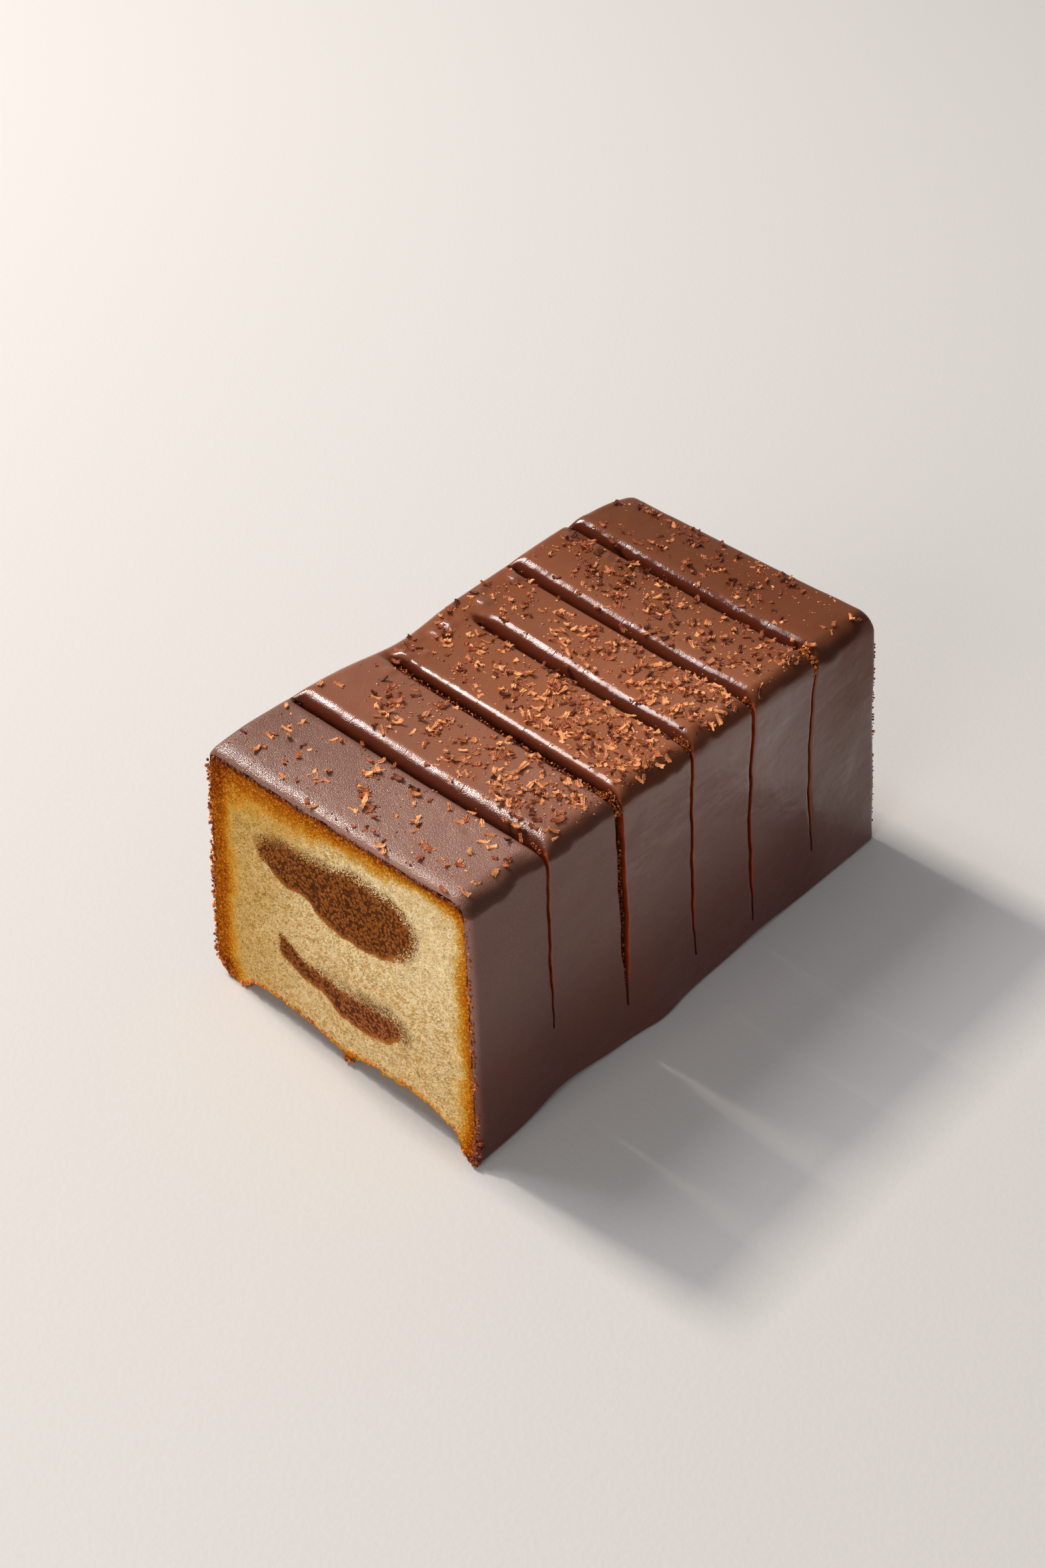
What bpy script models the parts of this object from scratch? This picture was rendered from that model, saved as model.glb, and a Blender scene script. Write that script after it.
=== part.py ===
"""Marble loaf cake: a loaf of pale crumb, cut square at both ends, under a chocolate coat.

The loaf lies along Y with its front cut at -Y, and stands on Z = 0 on two flat strips of its
underside, which is arched between them. The coat covers the top and both long sides. Knife slits
cross the top and run down the right side (+X). Chocolate shavings are set into the coat.
"""

import math
import random

import bmesh
import bpy
import numpy as np
from mathutils import Matrix, Vector

MM = 0.001

# Driving sizes of the loaf
LENGTH = 130 * MM
HEIGHT = 63.4 * MM
TOP_HALF_WIDTH = 35 * MM
BASE_HALF_WIDTH = 40.8 * MM
LEFT_RADIUS = 3 * MM
RIGHT_RADIUS = 5 * MM
REAR_DROP = 1.2 * MM

# The coat, and the gap between it and the crumb
COAT = 1.5 * MM
LEFT_COAT = 0.8 * MM
GAP = 0.3 * MM
LEFT_FOOT = 5.0 * MM
RIGHT_FOOT = 0.7 * MM

# Twist of the two cuts: how far their right edge lies behind their left one, at base and top
FRONT_TWIST = (-2.0 * MM, 1.8 * MM)
REAR_TWIST = (1.8 * MM, -0.2 * MM)

# The top rises to the left from this x on, by this much at the left edge
RISE_START_X = 18 * MM
LEFT_EDGE_RISE = 2.2 * MM

# Bumps along the loaf, each a height, the y of its middle and its half length
LEFT_EDGE_BUMPS = (
    (-1.0 * MM, -66 * MM, 7 * MM),
    (-2.5 * MM, -12 * MM, 13 * MM),
    (1.7 * MM, 42 * MM, 22 * MM),
    (-1.6 * MM, 67 * MM, 7 * MM),
)
RIGHT_BASE_BUMPS = ((-1.2 * MM, -39 * MM, 11 * MM), (1.2 * MM, -12 * MM, 7 * MM))
RIGHT_FOOT_BUMPS = ((1.2 * MM, -41 * MM, 10 * MM), (0.7 * MM, 24 * MM, 9 * MM))
LEFT_FOOT_BUMPS = ((2.0 * MM, -20 * MM, 16 * MM), (1.4 * MM, 38 * MM, 12 * MM))

# Underside: two flat strips to stand on, and the two hollows of the arch between them
LEFT_STRIP = (-35.5 * MM, -30.5 * MM)
RIGHT_STRIP = (35.2 * MM, 38.4 * MM)
LEFT_CORNER = 5.0 * MM
RIGHT_CORNER = 0.6 * MM
RIDGE_X = 1.5 * MM
RIDGE_HEIGHT = 2.4 * MM
HOLLOWS = (4.2 * MM, 5.9 * MM)
HOLLOW_INSIDE = 0.55
LEFT_LIFT = 0.8 * MM

# Crumbs that stand out at the front cut: how far the right foot flares, and a nub under the ridge
FOOT_FLARE = 2.0 * MM
NUB_RADIUS = 1.7 * MM
NUB_CENTRE = (1.6 * MM, -64.6 * MM, 1.85 * MM)


class Slit:
    """One knife slit: where it crosses the top and how far down the right side it runs."""

    def __init__(self, y, turn, bow, width, side_shift, side_bow, start, end_height):
        self.y = y * MM
        self.turn = turn * MM
        self.bow = bow * MM
        self.width = width * MM
        self.side_shift = side_shift * MM
        self.side_bow = side_bow * MM
        self.start = start
        self.end_height = end_height * MM


# Millimetres; start is the place on the coat's girth where the slit begins (see girth_point)
SLITS = (
    Slit(-42.2, 0.4, -0.1, 1.3, -1.3, -0.3, start=1.33, end_height=18),
    Slit(-19.5, -1.6, 0.2, 2.2, -0.4, -0.1, start=2.0, end_height=9.6),
    Slit(2.9, -1.0, 0.1, 1.3, -1.0, -0.9, start=2.07, end_height=9.2),
    Slit(22.2, -0.2, 0.1, 1.3, -1.2, -1.2, start=1.33, end_height=4.2),
    Slit(43.5, 0.4, -0.1, 1.3, -1.2, -1.9, start=1.0, end_height=11.2),
)

# Lines beside an edge of the coat: how far from the edge each runs, and how far the face sinks there.
# The lip behind a slit is the roundest. On the right side the lips sink by this share of it only.
LIP_LINES = ((1.9 * MM, 0.0), (0.6 * MM, 0.25 * MM), (0.0, 0.9 * MM))
FAR_LIP_LINES = ((2.8 * MM, 0.0), (1.4 * MM, 0.17 * MM), (0.45 * MM, 0.65 * MM), (0.0, 1.25 * MM))
SIDE_LIP_SHARE = 0.25

# Half the width of a slit at its ends, and how far the cutters run past the loaf
CLOSED_HALF_WIDTH = 0.12 * MM
CUT_OVERSHOOT = 4 * MM

# Shavings: the weight of each slice from the front one, and the sizes they are drawn from
SHAVING_COUNT = 140
SLICE_WEIGHTS = (0.3, 0.8, 1.0, 1.0, 0.9, 0.55)
SHAVING_LENGTH = (2.0 * MM, 3.4 * MM)
SHAVING_WIDTH = (0.9 * MM, 1.5 * MM)
SHAVING_THICKNESS = (0.5 * MM, 0.75 * MM)
SHAVING_SPACING = 3.0 * MM
SLIT_CLEARANCE = 2.6 * MM
SEED = 11

# Colours, as linear red, green and blue
CRUMB_COLOUR = (0.74, 0.52, 0.21)
GLAZE_COLOUR = (0.125, 0.048, 0.03)
CRUMB_ROUGHNESS = 0.9
GLAZE_ROUGHNESS = 0.3
SHARP_ANGLE = math.radians(35)

# How finely the two solids are divided
CRUMB_STEPS = 24
ARCH_POINTS = 11
LEFT_PLACES = (0.0, 0.35, 0.7, 1.0, 1.33, 1.67)
TOP_PLACES = (2.0, 2.07, 2.2, 2.35, 2.5, 2.65, 2.8, 2.92)
RIGHT_PLACES = (3.0, 3.25, 3.5, 3.75, 4.0, 4.17, 4.34, 4.52)


# Small sums that the forms are worked out from


def mix(a, b, share):
    """The value that lies this share of the way from a to b."""
    return a + (b - a) * share


def smooth_step(value, low, high):
    """0 below low, 1 above high and an S curve between; low may be the larger."""
    share = min(max((value - low) / (high - low), 0.0), 1.0)
    return share * share * (3 - 2 * share)


def bumps_at(bumps, y):
    """The summed height of the bumps at y."""
    return sum(height * math.exp(-(((y - middle) / half) ** 2)) for height, middle, half in bumps)


# Shape of the coat's outside

SIDE_LEAN = math.atan2(BASE_HALF_WIDTH - TOP_HALF_WIDTH, HEIGHT)
CORNER_REACH = math.tan(math.radians(45) - SIDE_LEAN / 2)


def side_x(z):
    """Half the width of the coated loaf at height z, before the corners are rounded."""
    return mix(BASE_HALF_WIDTH, TOP_HALF_WIDTH, z / HEIGHT)


def warped(x, y, z):
    """A point of the straight loaf moved as the real one is uneven."""
    left = max((RISE_START_X - x) / (RISE_START_X + TOP_HALF_WIDTH), 0) ** 1.2
    edge_rise = LEFT_EDGE_RISE + bumps_at(LEFT_EDGE_BUMPS, y)
    rise = edge_rise * left - REAR_DROP * (y / LENGTH + 0.5)
    out = bumps_at(RIGHT_BASE_BUMPS, y) * (1 - z / HEIGHT) ** 2 * smooth_step(x, 20 * MM, 36 * MM)
    return Vector((x + out, y, z * (1 + rise / HEIGHT)))


def girth_point(place, y, inset=0.0):
    """x and z on the coat's girth at y: place 0-1 is the left side going up, 1-2 its top corner,
    2-3 the top, 3-4 the right corner and 4-5 the right side going down."""
    piece = min(int(place), 4)
    share = place - piece
    side = -1 if piece < 2 else 1
    radius = LEFT_RADIUS if side < 0 else RIGHT_RADIUS
    middle = side * (TOP_HALF_WIDTH - radius * CORNER_REACH)
    if piece in (0, 4):
        bottom = LEFT_FOOT + bumps_at(LEFT_FOOT_BUMPS, y)
        if side > 0:
            bottom = RIGHT_FOOT + bumps_at(RIGHT_FOOT_BUMPS, y)
            share = 1 - share
        z = mix(bottom, HEIGHT - radius * (1 - math.sin(SIDE_LEAN)), share)
        x, angle = side * side_x(z), SIDE_LEAN
    elif piece == 2:
        right = TOP_HALF_WIDTH - RIGHT_RADIUS * CORNER_REACH
        left = LEFT_RADIUS * CORNER_REACH - TOP_HALF_WIDTH
        x, z, angle = mix(left, right, share), HEIGHT, math.pi / 2
    else:
        angle = mix(SIDE_LEAN, math.pi / 2, share if side < 0 else 1 - share)
        x = middle + side * radius * math.cos(angle)
        z = HEIGHT - radius + radius * math.sin(angle)
    return x - side * inset * math.cos(angle), z - inset * math.sin(angle)


def front_y(x, z):
    """y of the front cut, which is slightly twisted."""
    across = min(max((x + TOP_HALF_WIDTH) / (2 * TOP_HALF_WIDTH), 0), 1)
    flare = FOOT_FLARE * math.exp(-(((x - BASE_HALF_WIDTH) / (4 * MM)) ** 2) - (z / (4 * MM)) ** 2)
    return -LENGTH / 2 + mix(*FRONT_TWIST, z / HEIGHT) * across - flare


def rear_y(x, z):
    """y of the rear cut."""
    across = min(max((x + TOP_HALF_WIDTH) / (2 * TOP_HALF_WIDTH), 0), 1)
    return LENGTH / 2 + mix(*REAR_TWIST, z / HEIGHT) * across


def slit_y(slit, x, z):
    """y of the slit's middle at x and z."""
    across = x / TOP_HALF_WIDTH
    down = min(max((HEIGHT - z) / (HEIGHT - slit.end_height), 0), 1)
    side = slit.side_shift * down + slit.side_bow * 4 * down * (1 - down)
    top = slit.y + slit.turn * across + slit.bow * across * across
    return top + side * smooth_step(x, 0, TOP_HALF_WIDTH)


def slit_end(slit):
    """The place on the girth where the slit runs out on the right side."""
    top = HEIGHT - RIGHT_RADIUS * (1 - math.sin(SIDE_LEAN))
    return 5 - (slit.end_height - RIGHT_FOOT) / (top - RIGHT_FOOT)


def slit_opening(slit, place):
    """How open the slit is at this place on the girth, from 0 to 1."""
    end = slit_end(slit)
    opening = smooth_step(place, slit.start - 0.03, slit.start + 0.25)
    return opening * smooth_step(place, end + 0.03, end - 0.5)


def coat_depth(place):
    """How thick the coat is: thinner on the left side than over the top and the right side."""
    return mix(LEFT_COAT, COAT, smooth_step(place, 1.0, 2.2))


# The crumb


def underside(x, y):
    """Height of the arched underside, which is 0 on the two flat strips."""
    depth = mix(HOLLOW_INSIDE, 1.0, smooth_step(abs(y), 20 * MM, LENGTH / 2))
    edge, height = (LEFT_STRIP[1], HOLLOWS[0]) if x < RIDGE_X else (RIGHT_STRIP[0], HOLLOWS[1])
    share = min((x - edge) / (RIDGE_X - edge), 1)
    hump = math.sqrt(math.sin(math.pi * share ** 0.75))
    return depth * mix(RIDGE_HEIGHT * share, height, hump)


def crumb_outline(y):
    """x and z round the crumb at y: up the left side, over the top, down the right side and back
    along the underside."""
    places = LEFT_PLACES[1:] + TOP_PLACES + RIGHT_PLACES + (4.7, 4.85)
    girth = [girth_point(place, y, coat_depth(place) + GAP) for place in places]
    lift = LEFT_LIFT * smooth_step(y, 12 * MM - LENGTH / 2, -LENGTH / 2)
    side = LEFT_COAT + GAP - side_x(LEFT_CORNER)
    corner = [
        (mix(LEFT_STRIP[0], side, math.sin(angle)), LEFT_CORNER * (1 - math.cos(angle)) + lift)
        for angle in np.radians((0, 30, 60, 90))
    ]
    right = [(side_x(RIGHT_CORNER) - COAT - GAP, RIGHT_CORNER), (RIGHT_STRIP[1], 0.0), (RIGHT_STRIP[0], 0.0)]
    arch_x = np.linspace(RIGHT_STRIP[0], LEFT_STRIP[1], ARCH_POINTS + 2)[1:-1]
    arch = [(x, underside(x, y)) for x in arch_x]
    return corner + girth + right + arch + [(LEFT_STRIP[1], lift)]


def unit_tube(segments, steps):
    """A closed round tube of unit radius and length along Z, from z = 0, divided into steps."""
    bm = bmesh.new()
    bmesh.ops.create_cone(bm, cap_ends=True, segments=segments, radius1=1, radius2=1, depth=1)
    bmesh.ops.translate(bm, vec=(0, 0, 0.5), verts=bm.verts)
    upright = [edge for edge in bm.edges if abs(edge.verts[0].co.z - edge.verts[1].co.z) > 0.5]
    bmesh.ops.subdivide_edges(bm, edges=upright, cuts=steps - 1)
    return bm


def helper(bm, name):
    """An object of bm that only shapes another one."""
    item = mesh_object(name, bm)
    item.hide_render = True
    item.display_type = "WIRE"
    return item


def combine(item, operation, others):
    """Applies one Boolean with the other objects to the item, and removes them."""
    group = bpy.data.collections.new(operation.lower())
    for other in others:
        bpy.context.scene.collection.objects.unlink(other)
        group.objects.link(other)
    modifier = item.modifiers.new(operation.lower(), "BOOLEAN")
    modifier.operation = operation
    modifier.solver = "EXACT"
    modifier.operand_type = "COLLECTION"
    modifier.collection = group
    graph = bpy.context.evaluated_depsgraph_get()
    mesh = bpy.data.meshes.new_from_object(item.evaluated_get(graph))
    item.modifiers.remove(modifier)
    item.data = mesh
    for other in others:
        bpy.data.objects.remove(other, do_unlink=True)
    bpy.data.collections.remove(group)


def mesh_object(name, bm):
    """A mesh object of this name from bm, with its faces pointing out."""
    bmesh.ops.recalc_face_normals(bm, faces=bm.faces)
    mesh = bpy.data.meshes.new(name)
    bm.to_mesh(mesh)
    bm.free()
    item = bpy.data.objects.new(name, mesh)
    bpy.context.scene.collection.objects.link(item)
    return item


def crumb_body():
    """The loaf's crumb: its outline lofted from the front cut to the rear one."""
    segments = len(crumb_outline(0.0))
    bm = unit_tube(segments, CRUMB_STEPS)
    for vert in bm.verts:
        angle = math.atan2(vert.co.x, vert.co.y) % (2 * math.pi)
        index = round(angle / (2 * math.pi) * segments) % segments
        share = vert.co.z
        x, z = crumb_outline(mix(-LENGTH / 2, LENGTH / 2, share))[index]
        vert.co = warped(x, mix(front_y(x, z), rear_y(x, z), share), z)
    cake = mesh_object("cake", bm)
    combine(cake, "UNION", [helper(crumb_nub(), "nub")])
    cutters = [helper(knife_cut(slit), f"knife_cut_{number}") for number, slit in enumerate(SLITS, 1)]
    combine(cake, "DIFFERENCE", cutters)
    return cake


def crumb_nub():
    """A small lump of crumb that hangs from the ridge at the front cut."""
    bm = bmesh.new()
    bmesh.ops.create_icosphere(bm, subdivisions=1, radius=NUB_RADIUS)
    bmesh.ops.translate(bm, vec=NUB_CENTRE, verts=bm.verts)
    return bm


def knife_cut(slit):
    """The wedge that a knife takes out of the crumb: nothing deep where the slit begins on the left,
    and down to the slit's end on the right."""
    steps = 10
    bm = bmesh.new()
    bmesh.ops.create_grid(bm, x_segments=steps, y_segments=1, size=1)
    bmesh.ops.solidify(bm, geom=bm.faces[:], thickness=1)
    start_x = girth_point(slit.start + 0.12, slit.y, 0.0)[0]
    end_x = BASE_HALF_WIDTH + CUT_OVERSHOOT
    for vert in bm.verts:
        share = (vert.co.x + 1) / 2
        side = round(vert.co.y)
        x = mix(start_x, end_x, share)
        blade = mix(HEIGHT, slit.end_height + CUT_OVERSHOOT / 4, share ** 0.9)
        z = blade if vert.co.z < -0.5 else HEIGHT + CUT_OVERSHOOT
        half = slit.width / 2 * 0.9
        vert.co = (x, slit_y(slit, x, z) + side * half, z)
    return bm


# The coat


class CoatLine:
    """A line across the coat, which runs beside an edge: the front or rear cut, or a slit's side."""

    def __init__(self, edge, side, reach, sink):
        self.edge = edge
        self.side = side
        self.reach = reach
        self.sink = sink

    def y(self, place, x, z):
        """y of the line at a place on the girth, which is at x and z."""
        if self.edge == "front":
            return front_y(x, z) + self.reach
        if self.edge == "rear":
            return rear_y(x, z) - self.reach
        half = max(self.edge.width / 2 * slit_opening(self.edge, place), CLOSED_HALF_WIDTH)
        return slit_y(self.edge, x, z) + self.side * (half + self.reach)

    def sinking(self, place):
        """How far the coat's face sinks along the line."""
        if isinstance(self.edge, Slit):
            side = mix(1, SIDE_LIP_SHARE, smooth_step(place, 3.1, 4.0))
            return self.sink * slit_opening(self.edge, place) * side
        return self.sink


class MiddleLine:
    """A line across the coat at a share of the way between two others."""

    def __init__(self, first, second, share):
        self.first = first
        self.second = second
        self.share = share

    def y(self, place, x, z):
        """y of the line at a place on the girth, which is at x and z."""
        return mix(self.first.y(place, x, z), self.second.y(place, x, z), self.share)

    def sinking(self, place):
        """How far the coat's face sinks along the line."""
        return 0.0


def coat_lines():
    """The lines across the coat, from its front edge to its rear one."""
    lines = [CoatLine("front", 1, reach, sink) for reach, sink in reversed(LIP_LINES)]
    for edge in (*SLITS, "rear"):
        near = [CoatLine(edge, -1, reach, sink) for reach, sink in LIP_LINES]
        far = [CoatLine(edge, 1, reach, sink) for reach, sink in reversed(FAR_LIP_LINES)]
        middle = [MiddleLine(lines[-1], near[0], share) for share in (1 / 3, 2 / 3)]
        lines += middle + near + (far if edge != "rear" else [])
    return lines


def coat_places():
    """The places along the girth at which the coat is divided; each slit's end is one."""
    ends = {round(slit_end(slit), 3) for slit in SLITS}
    return [*LEFT_PLACES, *TOP_PLACES, *RIGHT_PLACES, *sorted(ends), 5.0]


def is_slot(line, low, high):
    """True where the coat is cut through just behind this line, between two places."""
    if not isinstance(line, CoatLine) or not isinstance(line.edge, Slit):
        return False
    inside = line.edge.start - 0.01 < low and high < slit_end(line.edge) + 0.01
    return inside and line.side < 0 and line.reach == 0


def coat_shell():
    """The chocolate coat: a flat sheet with slots where the slits are, thickened, then wrapped
    round the loaf."""
    lines = coat_lines()
    places = coat_places()
    across, along = len(places) - 1, len(lines) - 1
    bm = bmesh.new()
    bmesh.ops.create_grid(bm, x_segments=across, y_segments=along, size=1)
    slots = []
    for face in bm.faces:
        centre = face.calc_center_median()
        column, row = int((centre.x + 1) / 2 * across), int((centre.y + 1) / 2 * along)
        if is_slot(lines[row], places[column], places[column + 1]):
            slots.append(face)
    bmesh.ops.delete(bm, geom=slots, context="FACES")
    bmesh.ops.solidify(bm, geom=bm.faces[:], thickness=1)
    for vert in bm.verts:
        place = places[round((vert.co.x + 1) / 2 * across)]
        line = lines[round((vert.co.y + 1) / 2 * along)]
        inset = coat_depth(place) if vert.co.z < -0.5 else line.sinking(place) * coat_depth(place) / COAT
        vert.co = on_coat(line, place, inset)
    return mesh_object("glaze", bm)


def on_coat(line, place, inset):
    """The point of the coat on a line at a place on the girth, this far under its face."""
    y = line.y(place, *girth_point(place, 0.0))
    x, z = girth_point(place, y, inset)
    return warped(x, line.y(place, x, z), z)


# The shavings


def coat_frame(place, y):
    """The point of the coat's face at a place on the girth and y, and the way it faces there."""
    points = [warped(x, y, z) for x, z in (girth_point(place, y, depth) for depth in (0.0, COAT))]
    return points[0], (points[0] - points[1]).normalized()


def slice_number(x, y):
    """Which slice lies under a point of the top, from 0 at the front."""
    return sum(y > slit_y(slit, x, HEIGHT) for slit in SLITS)


def shaving_weight(place, y):
    """How thickly the shavings lie at a place on the girth and y: most along the right edge of the
    middle slices, few on the front one."""
    x, _ = girth_point(place, y)
    number = slice_number(x, y)
    if any(abs(y - slit_y(slit, x, HEIGHT)) < slit.width / 2 + SLIT_CLEARANCE for slit in SLITS):
        return 0.0
    if abs(y) > LENGTH / 2 - SLIT_CLEARANCE:
        return 0.0
    right = smooth_step(x, -20 * MM, 24 * MM) if 0 < number < len(SLITS) else 0.5
    fall = smooth_step(place, 3.9, 3.2)
    return SLICE_WEIGHTS[number] * (0.3 + 0.7 * right) * fall


def shaving(rng):
    """One shaving: a short strip that curls and tapers, flat side down, with its middle at 0."""
    length, width, thickness = (
        rng.uniform(*sizes) for sizes in (SHAVING_LENGTH, SHAVING_WIDTH, SHAVING_THICKNESS)
    )
    curl, taper, skew = rng.uniform(0.1, 0.5), rng.uniform(0.4, 0.9), rng.uniform(-0.3, 0.3)
    bm = bmesh.new()
    bmesh.ops.create_cube(bm, size=1)
    long_edges = [edge for edge in bm.edges if abs(edge.verts[0].co.x - edge.verts[1].co.x) > 0.5]
    bmesh.ops.subdivide_edges(bm, edges=long_edges, cuts=2)
    for vert in bm.verts:
        along, across, up = vert.co
        narrow = mix(1, taper, along + 0.5)
        x = along * length
        y = across * width * narrow + skew * width * (2 * along) ** 2
        vert.co = (x, y, up * thickness + curl * length * along * along)
    return bm


def shavings():
    """The shavings, each an object that is set a little into the coat."""
    rng = random.Random(SEED)
    spots = []
    items = []
    while len(items) < SHAVING_COUNT:
        place, y = rng.uniform(2.02, 3.8), rng.uniform(-LENGTH / 2, LENGTH / 2)
        if rng.random() > shaving_weight(place, y):
            continue
        spot, facing = coat_frame(place, y)
        if any((spot - other).length < SHAVING_SPACING for other in spots):
            continue
        spots.append(spot)
        bm = shaving(rng)
        lean = Matrix.Rotation(math.radians(rng.uniform(-14, 14)), 4, "Y")
        turn = Matrix.Rotation(rng.uniform(0, 2 * math.pi), 4, "Z")
        upright = facing.to_track_quat("Z", "Y").to_matrix().to_4x4()
        at = Matrix.Translation(spot + facing * rng.uniform(0.0, 0.15) * MM)
        bmesh.ops.transform(bm, matrix=at @ upright @ turn @ lean, verts=bm.verts)
        items.append(helper(bm, f"shaving_{len(spots)}"))
    return items


# Putting it together


def finish(item, colour, roughness):
    """Shades the item smooth but for its sharp edges, and gives it a material of its own."""
    mesh = item.data
    mesh.polygons.foreach_set("use_smooth", [True] * len(mesh.polygons))
    mesh.set_sharp_from_angle(angle=SHARP_ANGLE)
    material = bpy.data.materials.new(item.name)
    material.use_nodes = True
    shader = material.node_tree.nodes["Principled BSDF"]
    shader.inputs["Base Color"].default_value = (*colour, 1)
    shader.inputs["Roughness"].default_value = roughness
    shader.inputs["Metallic"].default_value = 0
    mesh.materials.clear()
    mesh.materials.append(material)


def centre_on_origin(items):
    """Moves the items together so that the middle of their base, seen from above, is the origin."""
    points = np.array([vert.co for item in items for vert in item.data.vertices])
    low, high = points.min(axis=0), points.max(axis=0)
    shift = Vector((-(low[0] + high[0]) / 2, -(low[1] + high[1]) / 2, -low[2]))
    for item in items:
        item.data.transform(Matrix.Translation(shift))


def clear_scene():
    """Removes every object that the scene holds."""
    for item in list(bpy.data.objects):
        bpy.data.objects.remove(item, do_unlink=True)


def main():
    """Builds the loaf."""
    clear_scene()
    cake = crumb_body()
    glaze = coat_shell()
    combine(glaze, "UNION", shavings())
    finish(cake, CRUMB_COLOUR, CRUMB_ROUGHNESS)
    finish(glaze, GLAZE_COLOUR, GLAZE_ROUGHNESS)
    centre_on_origin([cake, glaze])


main()
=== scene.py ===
"""Looks of the marble loaf cake: its crumb, chocolate coat, shavings and loose crumbs.

Every piece is worked out round a straight loaf, in metres, and is then moved as the real loaf is
uneven. The sizes are those of the solids that the pieces dress.
"""

import itertools
import logging
import math
import random
from collections.abc import Iterator
from dataclasses import dataclass, field
from enum import Enum

import bmesh
import bpy
import numpy as np
from mathutils import Matrix, Vector


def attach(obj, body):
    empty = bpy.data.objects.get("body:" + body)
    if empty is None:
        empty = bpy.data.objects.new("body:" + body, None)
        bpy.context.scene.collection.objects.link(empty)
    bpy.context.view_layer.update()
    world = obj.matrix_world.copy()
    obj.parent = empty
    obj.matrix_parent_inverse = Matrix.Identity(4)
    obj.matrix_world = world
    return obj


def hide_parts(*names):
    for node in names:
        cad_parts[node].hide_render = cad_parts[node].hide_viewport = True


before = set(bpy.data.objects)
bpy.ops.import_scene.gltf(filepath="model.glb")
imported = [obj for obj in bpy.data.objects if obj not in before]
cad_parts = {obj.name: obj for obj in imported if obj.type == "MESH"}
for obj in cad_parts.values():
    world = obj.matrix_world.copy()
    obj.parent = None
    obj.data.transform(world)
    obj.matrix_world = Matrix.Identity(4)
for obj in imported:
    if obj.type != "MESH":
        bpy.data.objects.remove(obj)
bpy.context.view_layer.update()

MM = 0.001
BODY = "root"
LOG = logging.getLogger("marble_loaf_cake")

Pair = tuple[float, float]
Triple = tuple[float, float, float]
Colour = Triple
Array = np.ndarray
Values = Array | float
BMesh = bmesh.types.BMesh
Object = bpy.types.Object
Material = bpy.types.Material
Socket = bpy.types.NodeSocket
Input = Socket | Colour | float


def mm(*sizes: float) -> tuple[float, ...]:
    """Sizes in millimetres as metres."""
    return tuple(size * MM for size in sizes)


# Small sums that work on single numbers and on arrays alike


def mix(a: Values, b: Values, share: Values) -> Values:
    """The value that lies this share of the way from a to b."""
    return a + (b - a) * share


def smooth_step(value: Values, low: float, high: float) -> Values:
    """0 below low, 1 above high and an S curve between; low may be the larger."""
    share = np.clip((value - low) / (high - low), 0.0, 1.0)
    return share * share * (3 - 2 * share)


def bumps_at(bumps: tuple[Triple, ...], y: Values) -> Values:
    """The summed height at y of bumps, each a height, the y of its middle and its half length."""
    return sum(height * np.exp(-(((y - middle) / half) ** 2)) for height, middle, half in bumps)


def cell_draw(cells: Array, seed: int) -> Array:
    """A fixed draw for each cell of a grid.

    Args:
        cells: Whole numbers that name the cells, three to each.
        seed: Tells one set of draws from another.

    Returns:
        One number from 0 to 1 for each cell.
    """
    primes, seed_prime, stir = np.array((73856093, 19349663, 83492791)), 2654435761, 1274126177
    mixed = cells @ primes + seed * seed_prime
    mixed = ((mixed ^ (mixed >> 13)) * stir) & 0x7FFFFFFF
    return ((mixed ^ (mixed >> 15)) & 0xFFFF) / 0xFFFF


def soft_noise(points: Array, cell: float, seed: int = 0) -> Array:
    """Smooth noise without a direction.

    Args:
        points: The places, one to a row.
        cell: The size of its lumps.
        seed: Tells one pattern from another.

    Returns:
        One value from -1 to 1 for each place.
    """
    scaled = points / cell
    corner = np.floor(scaled).astype(np.int64)
    share = scaled - corner
    fade = share**3 * (share * (share * 6 - 15) + 10)
    total = np.zeros(len(points))
    for step in itertools.product((0, 1), repeat=3):
        weight = np.prod(np.where(step, fade, 1 - fade), axis=1)
        total += weight * (cell_draw(corner + np.array(step), seed) * 2 - 1)
    return total


def pore_noise(points: Array, cell: float, seed: int = 0) -> tuple[Array, Array]:
    """Distances to spots that are strewn one to a cell.

    Args:
        points: The places, one to a row.
        cell: The mean distance between the spots.
        seed: Tells one pattern from another.

    Returns:
        The distance to the nearest spot, in cells, and that spot's own draw from 0 to 1.
    """
    scaled = points / cell
    corner = np.floor(scaled).astype(np.int64)
    nearest, draw = np.full(len(points), np.inf), np.zeros(len(points))
    for step in itertools.product((-1, 0, 1), repeat=3):
        cells = corner + np.array(step)
        offset = np.stack([cell_draw(cells, seed + turn) for turn in (1, 2, 3)], axis=1)
        distance = np.linalg.norm(cells + offset - scaled, axis=1)
        closer = distance < nearest
        nearest = np.where(closer, distance, nearest)
        draw = np.where(closer, cell_draw(cells, seed + 4), draw)
    return nearest, draw


def stacked(*columns: Values) -> Array:
    """The columns side by side, one place to a row."""
    return np.stack(np.broadcast_arrays(*columns), axis=-1)


def summed_noise(points: Array, layers: tuple[tuple[float, float, int], ...]) -> Array:
    """The sum of noises that are each a height, the size of its lumps and a seed."""
    return sum(height * soft_noise(points, cell, seed) for height, cell, seed in layers)


def step_of(spread: Array, count: int) -> Array:
    """Which of so many even steps from -1 to 1 each value stands on, from 0."""
    return np.round((spread + 1) / 2 * (count - 1)).astype(int)


# The loaf's shape


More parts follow.
